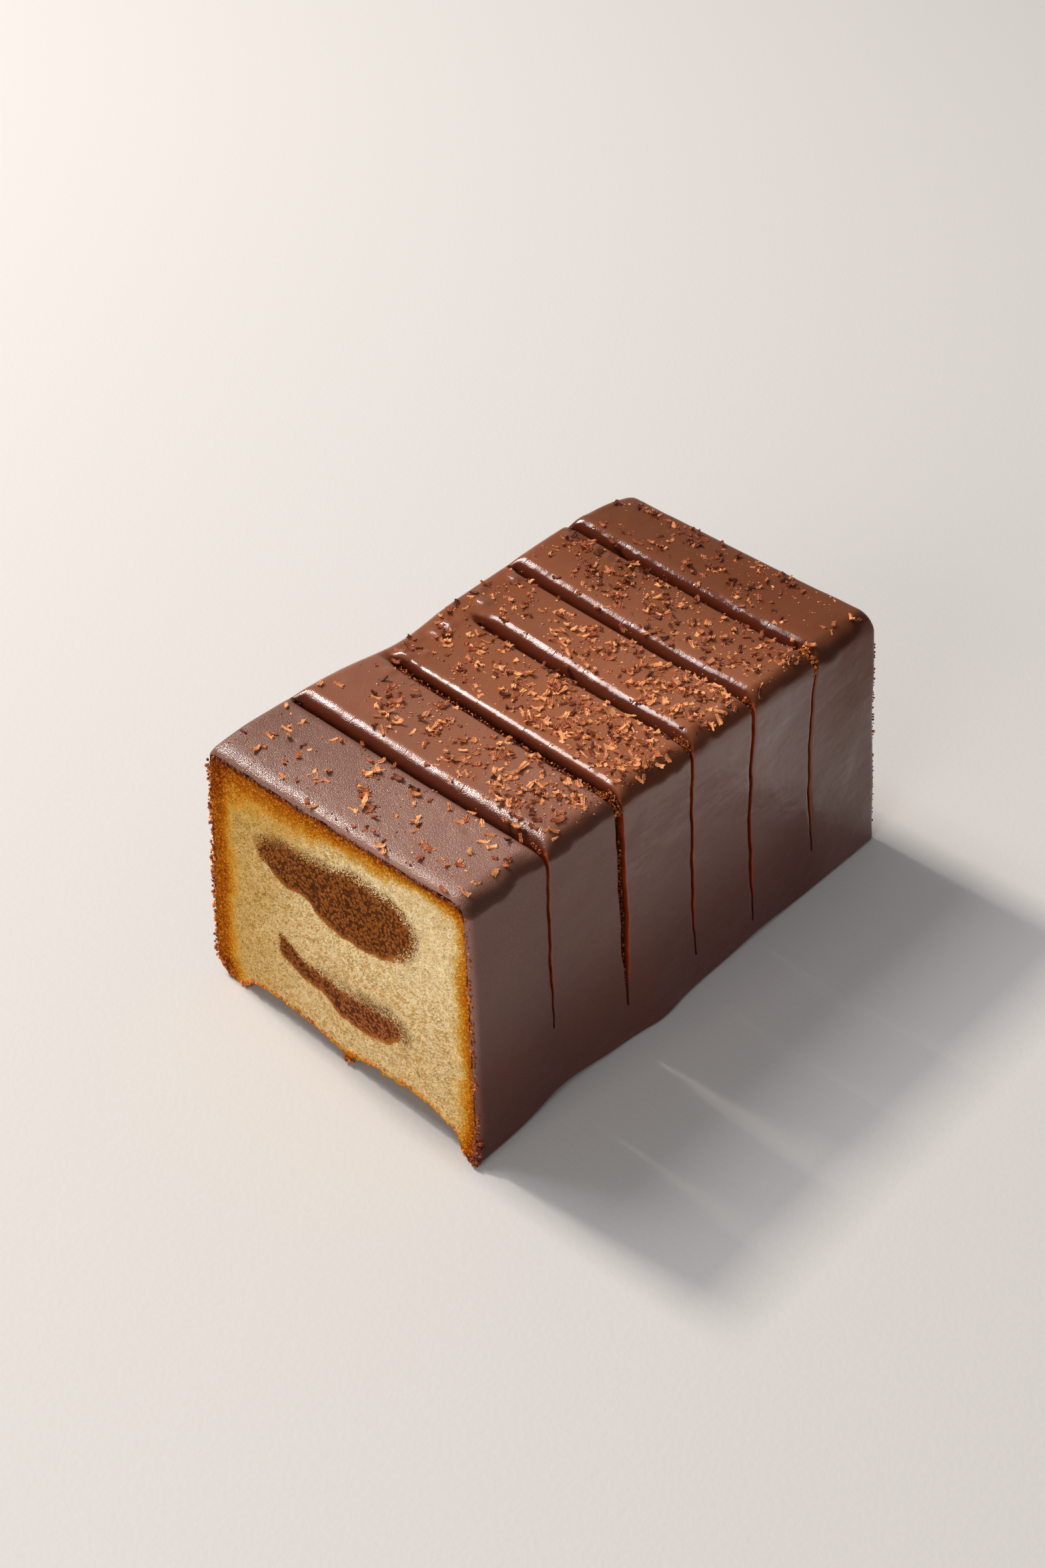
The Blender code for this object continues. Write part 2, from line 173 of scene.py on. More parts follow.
@dataclass(frozen=True)
class Slit:
    """One knife slit, with the sizes that its solid has and the lips that the coat forms beside it.

    It starts at a place on the girth, and its side_width is a share of its width on the top.
    """

    y: float
    turn: float
    bow: float
    width: float
    side_shift: float
    side_bow: float
    end_height: float
    far_radius: float
    start: float
    side_width: float


SLITS = tuple(
    Slit(*mm(*sizes), start=start, side_width=side_width)
    for start, side_width, sizes in (
        (1.33, 0.62, (-42.2, 0.4, -0.1, 1.3, -1.3, -0.3, 18.0, 3.0)),
        (2.0, 1.1, (-19.5, -1.6, 0.2, 2.2, -0.4, -0.1, 9.6, 2.2)),
        (2.07, 0.7, (2.9, -1.0, 0.1, 1.3, -1.0, -0.9, 9.2, 3.0)),
        (1.33, 0.85, (22.2, -0.2, 0.1, 1.3, -1.2, -1.2, 4.2, 3.0)),
        (1.0, 0.58, (43.5, 0.4, -0.1, 1.3, -1.2, -1.9, 11.2, 3.0)),
    )
)


@dataclass(frozen=True)
class LoafShape:
    """The sizes of the loaf, and the sums that place a point on it."""

    length: float = 130 * MM
    height: float = 63.4 * MM
    top_half_width: float = 35 * MM
    base_half_width: float = 40.8 * MM
    left_radius: float = 3 * MM
    right_radius: float = 5 * MM
    rear_drop: float = 1.2 * MM
    coat: float = 1.5 * MM
    left_coat: float = 0.8 * MM
    gap: float = 0.3 * MM
    left_foot: float = 5.0 * MM
    right_foot: float = 0.7 * MM
    front_twist: Pair = mm(-2.0, 1.8)
    rear_twist: Pair = mm(1.8, -0.2)
    coat_thickens: Pair = (1.0, 2.2)
    rise_start_x: float = 18 * MM
    rise_power: float = 1.2
    left_edge_rise: float = 2.2 * MM
    left_edge_bumps: tuple = (
        mm(-1.0, -66, 7),
        mm(-2.5, -12, 13),
        mm(1.7, 42, 22),
        mm(-1.6, 67, 7),
    )
    right_base_bumps: tuple = (mm(-1.2, -39, 11), mm(1.2, -12, 7))
    base_bump_x: Pair = mm(20, 36)
    right_foot_bumps: tuple = (mm(1.2, -41, 10), mm(0.7, 24, 9))
    left_foot_bumps: tuple = (mm(2.0, -20, 16), mm(1.4, 38, 12))
    left_strip: Pair = mm(-35.5, -30.5)
    right_strip: Pair = mm(35.2, 38.4)
    left_corner: float = 5.0 * MM
    ridge_x: float = 1.5 * MM
    ridge_height: float = 2.4 * MM
    hollows: Pair = mm(4.2, 5.9)
    hollow_inside: float = 0.55
    hollow_reach: float = 20 * MM
    hollow_power: float = 0.75
    left_lift: float = 0.8 * MM
    lift_reach: float = 12 * MM
    foot_flare: float = 2.0 * MM
    flare_reach: float = 4 * MM
    nub_centre: Pair = mm(1.6, -64.8)
    slit_overrun: float = 0.03
    slit_opens: float = 0.11
    slit_open_place: float = 2.04
    slit_closes: float = 0.4
    wobbles: tuple = ((0.10, 2.3, 1), (0.07, 0.95, 2))
    wobble_fade: float = 8 * MM
    origin: Triple = (-0.7746 * MM, 1.0031 * MM, 0.0)

    @property
    def lean(self) -> float:
        """How far the two sides lean in from upright."""
        return math.atan2(self.base_half_width - self.top_half_width, self.height)

    @property
    def corner_reach(self) -> float:
        """How far a rounded top corner of unit radius reaches along the top."""
        return math.tan(math.radians(45) - self.lean / 2)

    def side_x(self, z: Values) -> Values:
        """Half the width of the coated loaf at height z, before the corners are rounded."""
        return mix(self.base_half_width, self.top_half_width, z / self.height)

    def uneven(self, x: Values, y: Values, z: Values) -> Array:
        """Places of the straight loaf moved as the real one is uneven, about its own origin.

        Args:
            x: Across the loaf.
            y: Along the loaf.
            z: Above the base.

        Returns:
            The places, one to a row.
        """
        left = np.maximum(self.rise_start_x - x, 0) / (self.rise_start_x + self.top_half_width)
        edge_rise = self.left_edge_rise + bumps_at(self.left_edge_bumps, y)
        rise = edge_rise * left**self.rise_power - self.rear_drop * (y / self.length + 0.5)
        out = bumps_at(self.right_base_bumps, y) * (1 - z / self.height) ** 2
        out = out * smooth_step(x, *self.base_bump_x)
        return stacked(x + out, y, z * (1 + rise / self.height)) + np.array(self.origin)

    def girth(self, place: Values, y: Values, inset: Values = 0.0) -> tuple[Array, Array]:
        """Where a place on the coat's girth lies.

        Args:
            place: 0 to 1 is the left side going up, 1 to 2 its top corner, 2 to 3 the top, 3 to 4
                the right corner and 4 to 5 the right side going down.
            y: Along the loaf.
            inset: How far under the coat's face.

        Returns:
            x and z.
        """
        piece = np.clip(np.floor(place), 0, 4)
        share = place - piece
        side = np.where(piece < 2, -1.0, 1.0)
        radius = np.where(side < 0, self.left_radius, self.right_radius)
        up = np.where(side < 0, share, 1 - share)
        left_foot = self.left_foot + bumps_at(self.left_foot_bumps, y)
        right_foot = self.right_foot + bumps_at(self.right_foot_bumps, y)
        bottom = np.where(side < 0, left_foot, right_foot)
        flank = (piece == 0) | (piece == 4)
        top = piece == 2
        angle = np.where(flank, self.lean, np.where(top, math.pi / 2, mix(self.lean, math.pi / 2, up)))
        flank_z = mix(bottom, self.height - radius * (1 - math.sin(self.lean)), up)
        middle = side * (self.top_half_width - radius * self.corner_reach)
        left_end = self.left_radius * self.corner_reach - self.top_half_width
        right_end = self.top_half_width - self.right_radius * self.corner_reach
        top_x = mix(left_end, right_end, share)
        corner_x = middle + side * radius * np.cos(angle)
        corner_z = self.height - radius + radius * np.sin(angle)
        x = np.where(flank, side * self.side_x(flank_z), np.where(top, top_x, corner_x))
        z = np.where(flank, flank_z, np.where(top, self.height, corner_z))
        return x - side * inset * np.cos(angle), z - inset * np.sin(angle)

    def across(self, x: Values) -> Values:
        """The share of the way over the top, from 0 at its left edge to 1 at its right one."""
        return np.clip((x + self.top_half_width) / (2 * self.top_half_width), 0, 1)

    def front_y(self, x: Values, z: Values) -> Values:
        """Where the front cut lies, which is slightly twisted and flares at its right foot.

        Args:
            x: Across the loaf.
            z: Above the base.

        Returns:
            y.
        """
        beside = (x - self.base_half_width) / self.flare_reach
        flare = self.foot_flare * np.exp(-(beside**2) - (z / self.flare_reach) ** 2)
        return mix(*self.front_twist, z / self.height) * self.across(x) - self.length / 2 - flare

    def rear_y(self, x: Values, z: Values) -> Values:
        """y of the rear cut at x and z."""
        return mix(*self.rear_twist, z / self.height) * self.across(x) + self.length / 2

    def slit_y(self, slit: Slit, x: Values, z: Values) -> Values:
        """Where the middle of a slit lies.

        Args:
            slit: The slit.
            x: Across the loaf.
            z: Above the base.

        Returns:
            y.
        """
        out = x / self.top_half_width
        down = np.clip((self.height - z) / (self.height - slit.end_height), 0, 1)
        side = slit.side_shift * down + slit.side_bow * 4 * down * (1 - down)
        top = slit.y + slit.turn * out + slit.bow * out * out + self.wobble(slit, z)
        return top + side * smooth_step(x, 0, self.top_half_width)

    def slit_end(self, slit: Slit) -> float:
        """The place on the girth where the slit runs out on the right side."""
        top = self.height - self.right_radius * (1 - math.sin(self.lean))
        return 5 - (slit.end_height - self.right_foot) / (top - self.right_foot)

    def opening(self, slit: Slit, place: Values) -> Values:
        """How open a slit is.

        Args:
            slit: The slit.
            place: The place on the girth.

        Returns:
            0 where it is closed to 1 where it is fully open.
        """
        start, end = slit.start - self.slit_overrun, self.slit_end(slit) + self.slit_overrun
        opening = smooth_step(place, start, max(slit.start + self.slit_opens, self.slit_open_place))
        return opening * smooth_step(place, end, self.slit_end(slit) - self.slit_closes)

    def wobble(self, slit: Slit, z: Values) -> Values:
        """How far a slit strays from its even line where it runs down the side.

        Args:
            slit: The slit.
            z: Above the base.

        Returns:
            The distance along y.
        """
        turn = slit.y / MM
        wave = sum(size * np.sin(z / (length * MM) + times * turn) for size, length, times in self.wobbles)
        return wave * MM * smooth_step(z, self.height, self.height - self.wobble_fade)

    def coat_depth(self, place: Values) -> Values:
        """How thick the coat is: thinner on the left side than over the top and the right side."""
        return mix(self.left_coat, self.coat, smooth_step(place, *self.coat_thickens))

    def underside(self, x: Values, y: Values) -> Values:
        """How high the arched underside is.

        Args:
            x: Across the loaf.
            y: Along it.

        Returns:
            z, which is 0 on the two flat strips.
        """
        depth = mix(self.hollow_inside, 1.0, smooth_step(np.abs(y), self.hollow_reach, self.length / 2))
        on_left = x < self.ridge_x
        edge = np.where(on_left, self.left_strip[1], self.right_strip[0])
        height = np.where(on_left, self.hollows[0], self.hollows[1])
        share = np.clip((x - edge) / (self.ridge_x - edge), 0, 1)
        hump = np.sqrt(np.sin(math.pi * share**self.hollow_power))
        return depth * mix(self.ridge_height * share, height, hump)

    def slice_number(self, x: Values, y: Values) -> Values:
        """Which slice lies under a point of the top, from 0 at the front."""
        return sum(np.greater(y, self.slit_y(slit, x, self.height)) for slit in SLITS)


SHAPE = LoafShape()
TOP_MIDDLE = 2.5
GRAIN_DEGREES = 40.0
ON_FACE = 0.9999


class Edge(Enum):
    """The edges that a line across the loaf can run beside: which way is in, and from what."""

    FRONT = (1, "cut")
    REAR = (-1, "cut")
    NEAR_LIP = (-1, "slit")
    FAR_LIP = (1, "slit")

    @property
    def inward(self) -> int:
        """1 where the loaf lies behind the edge, and -1 where it lies before it."""
        return self.value[0]


@dataclass(frozen=True)
class Line:
    """A line across the loaf, at an angle round the lip of an edge: 0 on the cut, 90 on the face."""

    edge: Edge
    degrees: float
    slit: Slit | None = None
    wall: float = 0.0
    end_radius: float = 1.15 * MM
    near_radius: float = 2.0 * MM
    side_radius: float = 0.35 * MM
    end_stretch: float = 2.5
    far_stretch: float = 1.15
    closed_start: float = 0.12 * MM
    closed_reach: float = 2.0 * MM
    wall_spacing: float = 0.1
    least_reach: float = 0.02 * MM
    shrinks: Pair = (3.05, 3.8)
    turns: Pair = (3.2, 4.0)

    def radius(self, place: Values) -> Values:
        """The lip's radius, which shrinks where a slit runs down the right side.

        Args:
            place: The place on the girth.

        Returns:
            The radius.
        """
        if self.slit is None:
            return self.end_radius
        top = self.near_radius if self.edge is Edge.NEAR_LIP else self.slit.far_radius
        return mix(top, self.side_radius, smooth_step(place, *self.shrinks))

    def opening(self, place: Values) -> Values:
        """How far the edge is formed at this place, from 0 to 1."""
        return 1.0 if self.slit is None else SHAPE.opening(self.slit, place)

    def sink(self, place: Values) -> Values:
        """How far the coat's face sinks along the line."""
        return self.radius(place) * (1 - math.sin(math.radians(self.degrees))) * self.opening(place)

    def y(self, place: Values, x: Values, z: Values) -> Values:
        """Where the line runs.

        Args:
            place: The place on the girth.
            x: Across the loaf.
            z: Above the base.

        Returns:
            y.
        """
        reach = self.radius(place) * (1 - math.cos(math.radians(self.degrees)))
        turned = smooth_step(place, *self.turns)
        if self.slit is None:
            end = SHAPE.front_y(x, z) if self.edge is Edge.FRONT else SHAPE.rear_y(x, z)
            return end + self.edge.inward * reach * mix(self.end_stretch, 1.0, turned)
        if self.edge is Edge.FAR_LIP:
            reach = reach * self.far_stretch
        opening = self.opening(place)
        half = self.slit.width / 2 * opening * mix(1.0, self.slit.side_width, turned)
        closed = self.degrees / 90 + (1 - self.wall) * self.wall_spacing
        closed = self.closed_start + self.closed_reach * closed
        away = half + mix(closed, np.maximum(reach, self.least_reach), opening)
        return SHAPE.slit_y(self.slit, x, z) + self.edge.inward * away


@dataclass(frozen=True)
class Between:
    """A line across the loaf at a share of the way between two others."""

    first: Line
    second: Line
    share: float

    def sink(self, place: Values) -> Values:
        """The face doesn't sink away from the edges."""
        return 0.0 * place

    def y(self, place: Values, x: Values, z: Values) -> Values:
        """y of the line at a place on the girth, which is at x and z."""
        return mix(self.first.y(place, x, z), self.second.y(place, x, z), self.share)


def lines_between(first: Line, second: Line, step: float) -> list[Between]:
    """Even lines that fill the stretch between two others.

    Args:
        first: The line before the stretch.
        second: The line behind it.
        step: About how far they lie from each other.

    Returns:
        The lines.
    """
    start, end = (line.y(TOP_MIDDLE, 0.0, SHAPE.height) for line in (first, second))
    count = max(round((end - start) / step), 2)
    return [Between(first, second, number / count) for number in range(1, count)]


def mesh_object(name: str, bm: BMesh, sharp_degrees: float) -> Object:
    """Makes a smooth-shaded object of a bmesh, which it frees.

    Args:
        name: The object's name.
        bm: The shape, with its faces pointing out.
        sharp_degrees: Edges that bend by more than this stay sharp.

    Returns:
        The object, at the origin.
    """
    mesh = bpy.data.meshes.new(name)
    bm.to_mesh(mesh)
    bm.free()
    item = bpy.data.objects.new(name, mesh)
    bpy.context.scene.collection.objects.link(item)
    mesh.polygons.foreach_set("use_smooth", [True] * len(mesh.polygons))
    mesh.set_sharp_from_angle(angle=math.radians(sharp_degrees))
    return item


def dress(item: Object, material: Material, values: dict[str, Array]) -> None:
    """Gives a piece its material and the numbers that the material reads.

    Args:
        item: The piece.
        material: Its material.
        values: By name, one number for each of its vertices.
    """
    for name, numbers in values.items():
        attribute = item.data.attributes.new(name, "FLOAT", "POINT")
        attribute.data.foreach_set("value", numbers.astype(np.float32))
    item.data.materials.append(material)


def vertex_places(mesh: bpy.types.Mesh) -> Array:
    """Reads where the vertices of a mesh lie.

    Args:
        mesh: The mesh.

    Returns:
        The places, one to a row.
    """
    places = np.empty(len(mesh.vertices) * 3, np.float32)
    mesh.vertices.foreach_get("co", places)
    return places.reshape(-1, 3).astype(float)


def place_vertices(mesh: bpy.types.Mesh, places: Array) -> None:
    """Moves a mesh's vertices to these places."""
    mesh.vertices.foreach_set("co", places.astype(np.float32).ravel())
    mesh.update()


# Materials


class Shader:
    """The nodes of one material. Its patterns are laid out in millimetres of the object."""

    def __init__(self, name: str) -> None:
        """Makes the material.

        Args:
            name: The material's name.
        """
        self.material = bpy.data.materials.new(name)
        self.material.use_nodes = True
        self.tree = self.material.node_tree
        self.surface = self.tree.nodes["Principled BSDF"]
        place = self.node("ShaderNodeTexCoord").outputs["Object"]
        self.place = self.node("ShaderNodeMapping", Vector=place, Scale=(1 / MM, 1 / MM, 1 / MM)).outputs[0]

    def node(self, kind: str, settings: dict | None = None, **inputs: Input) -> bpy.types.Node:
        """Adds a node.

        Args:
            kind: The node's type.
            settings: Values of its own properties.
            inputs: A number, colour or socket for each input, by its name without spaces.

        Returns:
            The node.
        """
        node = self.tree.nodes.new(kind)
        for key, value in (settings or {}).items():
            setattr(node, key, value)
        self.feed(node, inputs)
        return node

    def feed(self, node: bpy.types.Node, inputs: dict[str | int, Input]) -> None:
        """Joins a node's inputs to other sockets, or sets their values.

        Args:
            node: The node.
            inputs: A number, colour or socket for each input, by its name without spaces or number.
        """
        for key, value in inputs.items():
            socket = node.inputs[key.replace("_", " ") if isinstance(key, str) else key]
            if isinstance(value, Socket):
                self.tree.links.new(value, socket)
            else:
                socket.default_value = value

    def finish(self, **inputs: Input) -> Material:
        """Sets the shader's own inputs, by their names without spaces, and gives the material."""
        self.feed(self.surface, inputs)
        return self.material

    def stretched(self, sizes: Triple, degrees: float = 0.0) -> Socket:
        """The object's place, turned about Y and then divided by a size along each axis."""
        turned = self.node(
            "ShaderNodeVectorRotate", {"rotation_type": "EULER_XYZ"}, Vector=self.place,
            Rotation=(0.0, math.radians(degrees), 0.0),
        )
        scale = tuple(1 / size for size in sizes)
        return self.node("ShaderNodeMapping", Vector=turned.outputs[0], Scale=scale).outputs[0]

    def noise(self, size: float, detail: float = 2.0, place: Socket | None = None,
              rough: float = 0.5) -> Socket:
        """Noise from 0 to 1 with lumps of this size, in millimetres."""
        return self.node(
            "ShaderNodeTexNoise", Vector=place or self.place, Scale=1 / size, Detail=detail, Roughness=rough
        ).outputs[0]

    def cracks(self, place: Socket) -> Socket:
        """The distance to the nearest border between cells that are about 1 across."""
        return self.node(
            "ShaderNodeTexVoronoi", {"feature": "DISTANCE_TO_EDGE"}, Vector=place, Scale=1
        ).outputs["Distance"]

    def granules(self, size: float) -> Socket:
        """Rounded granules of this size, in millimetres: 1 in their middles and 0 between them."""
        distance = self.node("ShaderNodeTexVoronoi", Vector=self.place, Scale=1 / size).outputs["Distance"]
        return self.span(distance, 0.75, 0.15)

    def value(self, name: str) -> Socket:
        """A number that the mesh stores for each vertex."""
        return self.node("ShaderNodeAttribute", {"attribute_name": name}).outputs["Fac"]

    def step(self, operation: str, *values: Input) -> Socket:
        """The result of one arithmetic step."""
        node = self.node("ShaderNodeMath", {"operation": operation})
        self.feed(node, dict(enumerate(values)))
        return node.outputs[0]

    def plus(self, first: Input, second: Input) -> Socket:
        """The sum of two values."""
        return self.step("ADD", first, second)

    def less(self, first: Input, second: Input) -> Socket:
        """The first value without the second."""
        return self.step("SUBTRACT", first, second)

    def larger(self, first: Input, second: Input) -> Socket:
        """The larger of two values."""
        return self.step("MAXIMUM", first, second)

    def times(self, value: Input, *factors: Input) -> Socket:
        """The value times every factor."""
        for factor in factors:
            value = self.step("MULTIPLY", value, factor)
        return value

    def raised(self, value: Input, extra: Input, factor: Input) -> Socket:
        """The value with a factor of something else on top."""
        return self.step("MULTIPLY_ADD", extra, factor, value)

    def strayed(self, value: Input, noise: Socket, amount: float) -> Socket:
        """The value, pushed up and down by noise."""
        return self.raised(value, self.less(noise, 0.5), amount)

    def span(self, value: Socket, low: float, high: float, bottom: float = 0.0, top: float = 1.0) -> Socket:
        """The value's smooth share of the way from low to high, laid between bottom and top."""
        return self.node(
            "ShaderNodeMapRange", {"interpolation_type": "SMOOTHSTEP"}, Value=value,
            From_Min=low, From_Max=high, To_Min=bottom, To_Max=top,
        ).outputs[0]

    def layered(self, colour: Input, *layers: tuple[Input, Input]) -> Socket:
        """A colour with others laid over it.

        Args:
            colour: The colour at the bottom.
            layers: From the bottom up, how far each covers what lies under it, and its colour.

        Returns:
            The colour at the top.
        """
        for share, over in layers:
            node = self.node("ShaderNodeMix", {"data_type": "RGBA"})
            under, over = ((*part, 1) if isinstance(part, tuple) else part for part in (colour, over))
            self.feed(node, {0: share, 6: under, 7: over})
            colour = node.outputs[2]
        return colour

    def ramp(self, value: Socket, stops: tuple) -> Socket:
        """The colour at a value, between stops that are each a value and a colour.

        Args:
            value: The value.
            stops: The stops, from the lowest value up.

        Returns:
            The colour.
        """
        node = self.node("ShaderNodeValToRGB", Fac=value)
        elements = node.color_ramp.elements
        while len(elements) < len(stops):
            elements.new(0.5)
        for element, (position, colour) in zip(elements, stops):
            element.position = position
            element.color = (*colour, 1)
        return node.outputs[0]

    def relief(self, *heights: tuple[Socket, float]) -> Socket:
        """The way a surface faces that heights are laid over.

        Args:
            heights: From the bottom up, a height of 0 to 1 and the depth in millimetres that 1 is.

        Returns:
            The surface's normal.
        """
        under = {}
        for height, depth in heights:
            node = self.node("ShaderNodeBump", Height=height, Distance=depth * MM, **under)
            under = {"Normal": node.outputs[0]}
        return under["Normal"]


@dataclass(frozen=True)
class CrumbFinish:
    """The open crumb, its cocoa marbling and its browned crust, which the mesh stores as numbers.

    Sizes and depths are in millimetres.
    """

    pale: Colour = (1.0, 0.80, 0.46)
    # Darker crumb: in random patches and grain, and painted shade between the granules.
    deeper: Colour = (0.56, 0.315, 0.092)
    # Colours of the crumb's browning near the crust and of its painted shade towards the upper left.
    toasted: Colour = (0.62, 0.370, 0.092)
    toasted_deeper: Colour = (0.45, 0.235, 0.040)
    # Painted shade: the cuts darker towards the bottom, in the plain crumb and in the cocoa.
    low: Colour = (0.60, 0.39, 0.155)
    # Painted shade in the pores of the crumb.
    hollow: Colour = (0.42, 0.22, 0.06)
    cocoa: Colour = (0.300, 0.083, 0.012)
    cocoa_light: Colour = (0.40, 0.135, 0.032)
    # Darker cocoa: at the seam between strokes, and painted shade between its granules and in its pits.
    cocoa_dark: Colour = (0.036, 0.010, 0.005)
    cocoa_rim: Colour = (0.38, 0.12, 0.020)
    # Painted shade: the cocoa darker towards the bottom of the cuts.
    cocoa_low: Colour = (0.18, 0.052, 0.014)
    cocoa_pale: Colour = (0.39, 0.115, 0.034)
    ash: Colour = (0.16, 0.078, 0.028)
    # Chocolate stain and painted shade on the walls of the knife cuts.
    cut: Colour = (0.13, 0.020, 0.005)
    crust: tuple = (
        (0.0, (0.74, 0.49, 0.16)),
        (0.22, (0.67, 0.34, 0.045)),
        (0.42, (0.55, 0.18, 0.007)),
        (0.60, (0.38, 0.088, 0.002)),
        (0.78, (0.20, 0.032, 0.002)),
        (1.0, (0.070, 0.013, 0.005)),
    )
    glow: Colour = (1.0, 0.55, 0.2)
    glow_reach: float = 0.5
    grain_degrees: float = GRAIN_DEGREES
    grain_stretch: Triple = (1.0, 0.55, 0.55)
    grain_size: float = 0.85
    clump_size: float = 2.0
    fine_size: float = 0.3
    patch_size: float = 5.0
    granule_size: float = 0.75
    grain_depth: float = 0.95
    granule_depth: float = 0.25
    fine_depth: float = 0.12

    def plain(self, shader: Shader, grain: Socket, fine: Socket, cells: Socket) -> Socket:
        """The colour of the crumb that has no cocoa in it.

        Args:
            shader: The crumb's nodes.
            grain: The pattern of its grain.
            fine: Its finest pattern.
            cells: The pattern of its granules.

        Returns:
            The colour.
        """
        patch = shader.noise(self.patch_size)
        # Browning near the crust and painted shade: the cut darker and more golden towards its upper left.
        toast_and_shade = shader.strayed(shader.value("toast_and_shade"), patch, 0.5)
        clumped = shader.strayed(grain, shader.noise(self.clump_size, 1.0), 0.4)
        # Painted light: the upper right of the cut lighter, with fewer darker grains.
        fair = shader.span(shader.value("fair"), 0.0, 1.0, 1.0, 0.45)
        speckled = shader.less(shader.strayed(shader.times(fine, 4.6), grain, 3.0), 1.4)
        speckled = shader.times(shader.value("ash"), speckled)
        return shader.layered(
            self.pale,
            (shader.span(patch, 0.5, 0.72, 0.0, 0.25), self.deeper),
            # painted shade towards the bottom of the cut
            (shader.value("low"), self.low),
            (shader.span(toast_and_shade, 0.0, 1.0, 0.0, 0.95), self.toasted),
            (
                shader.times(shader.span(clumped, 0.57, 0.36, 0.0, 0.95), fair),
                shader.layered(self.deeper, (shader.span(toast_and_shade, 0.2, 0.9), self.toasted_deeper)),
            ),
            # painted shade between the granules and in the pores
            (shader.span(cells, 0.4, 0.05, 0.0, 0.3), self.deeper),
            (shader.span(fine, 0.38, 0.24, 0.0, 0.3), self.hollow),
            (shader.times(shader.value("hollow"), 0.35), self.hollow),
            (shader.span(speckled, 0.15, 1.1, 0.0, 0.9), self.ash),
        )

    def marbled(self, shader: Shader, grain: Socket, fine: Socket, cells: Socket) -> tuple[Socket, Socket]:
        """The cocoa marbling, whose edge is frayed.

        Args:
            shader: The crumb's nodes.
            grain: The pattern of its grain.
            fine: Its finest pattern.
            cells: The pattern of its granules.

        Returns:
            How far the marbling covers the crumb, and its colour.
        """
        below = shader.value("below")
        stray = shader.strayed(shader.times(shader.less(grain, 0.5), 3.4), fine, 4.2)
        frayed = shader.plus(shader.span(below, 0.0, 0.9, 1.0, 0.3), shader.value("ash"))
        inside = shader.raised(shader.value("cocoa"), stray, frayed)
        pits = shader.larger(shader.value("hollow"), shader.span(fine, 0.44, 0.33))
        cocoa = shader.layered(
            self.cocoa,
            (shader.span(grain, 0.46, 0.64), self.cocoa_light),
            (shader.value("low"), self.cocoa_low),
            (shader.value("paler"), self.cocoa_pale),
            # painted shade between the cocoa's granules and in its pits
            (shader.span(cells, 0.5, 0.05, 0.0, 0.8), self.cocoa_dark),
            (shader.times(pits, 0.85), self.cocoa_dark),
            (shader.times(shader.value("seam"), 0.6), self.cocoa_dark),
            (shader.times(shader.span(inside, 1.5, 0.2), below), self.cocoa_rim),
        )
        return shader.span(inside, -0.25, 0.3), cocoa

    def material(self) -> Material:
        """Makes the crumb's material.

        Returns:
            The material, which reads the numbers that the crumb's mesh stores.
        """
        shader = Shader("open_crumb")
        strokes = shader.stretched(self.grain_stretch, self.grain_degrees)
        grain, fine = shader.noise(self.grain_size, 2.5, strokes, 0.6), shader.noise(self.fine_size)
        cells = shader.granules(self.granule_size)
        uneven = shader.strayed(shader.strayed(shader.plus(fine, 0.5), grain, 1.2), cells, -0.4)
        browned = shader.times(shader.value("crust"), uneven)
        cut = shader.value("cut")
        return shader.finish(
            Base_Color=shader.layered(
                self.plain(shader, grain, fine, cells),
                self.marbled(shader, grain, fine, cells),
                (shader.span(browned, 0.03, 0.3), shader.ramp(browned, self.crust)),
                # chocolate stain and painted shade on the knife cuts' walls
                (shader.times(cut, 0.75), self.cut),
            ),
            Roughness=shader.less(shader.span(browned, 0.75, 1.0, 0.85, 0.55), shader.times(cut, 0.45)),
            Normal=shader.relief(
                (grain, self.grain_depth), (cells, self.granule_depth), (fine, self.fine_depth)
            ),
            Specular_IOR_Level=0.03,
            Subsurface_Weight=0.25, Subsurface_Radius=self.glow, Subsurface_Scale=self.glow_reach * MM,
        )


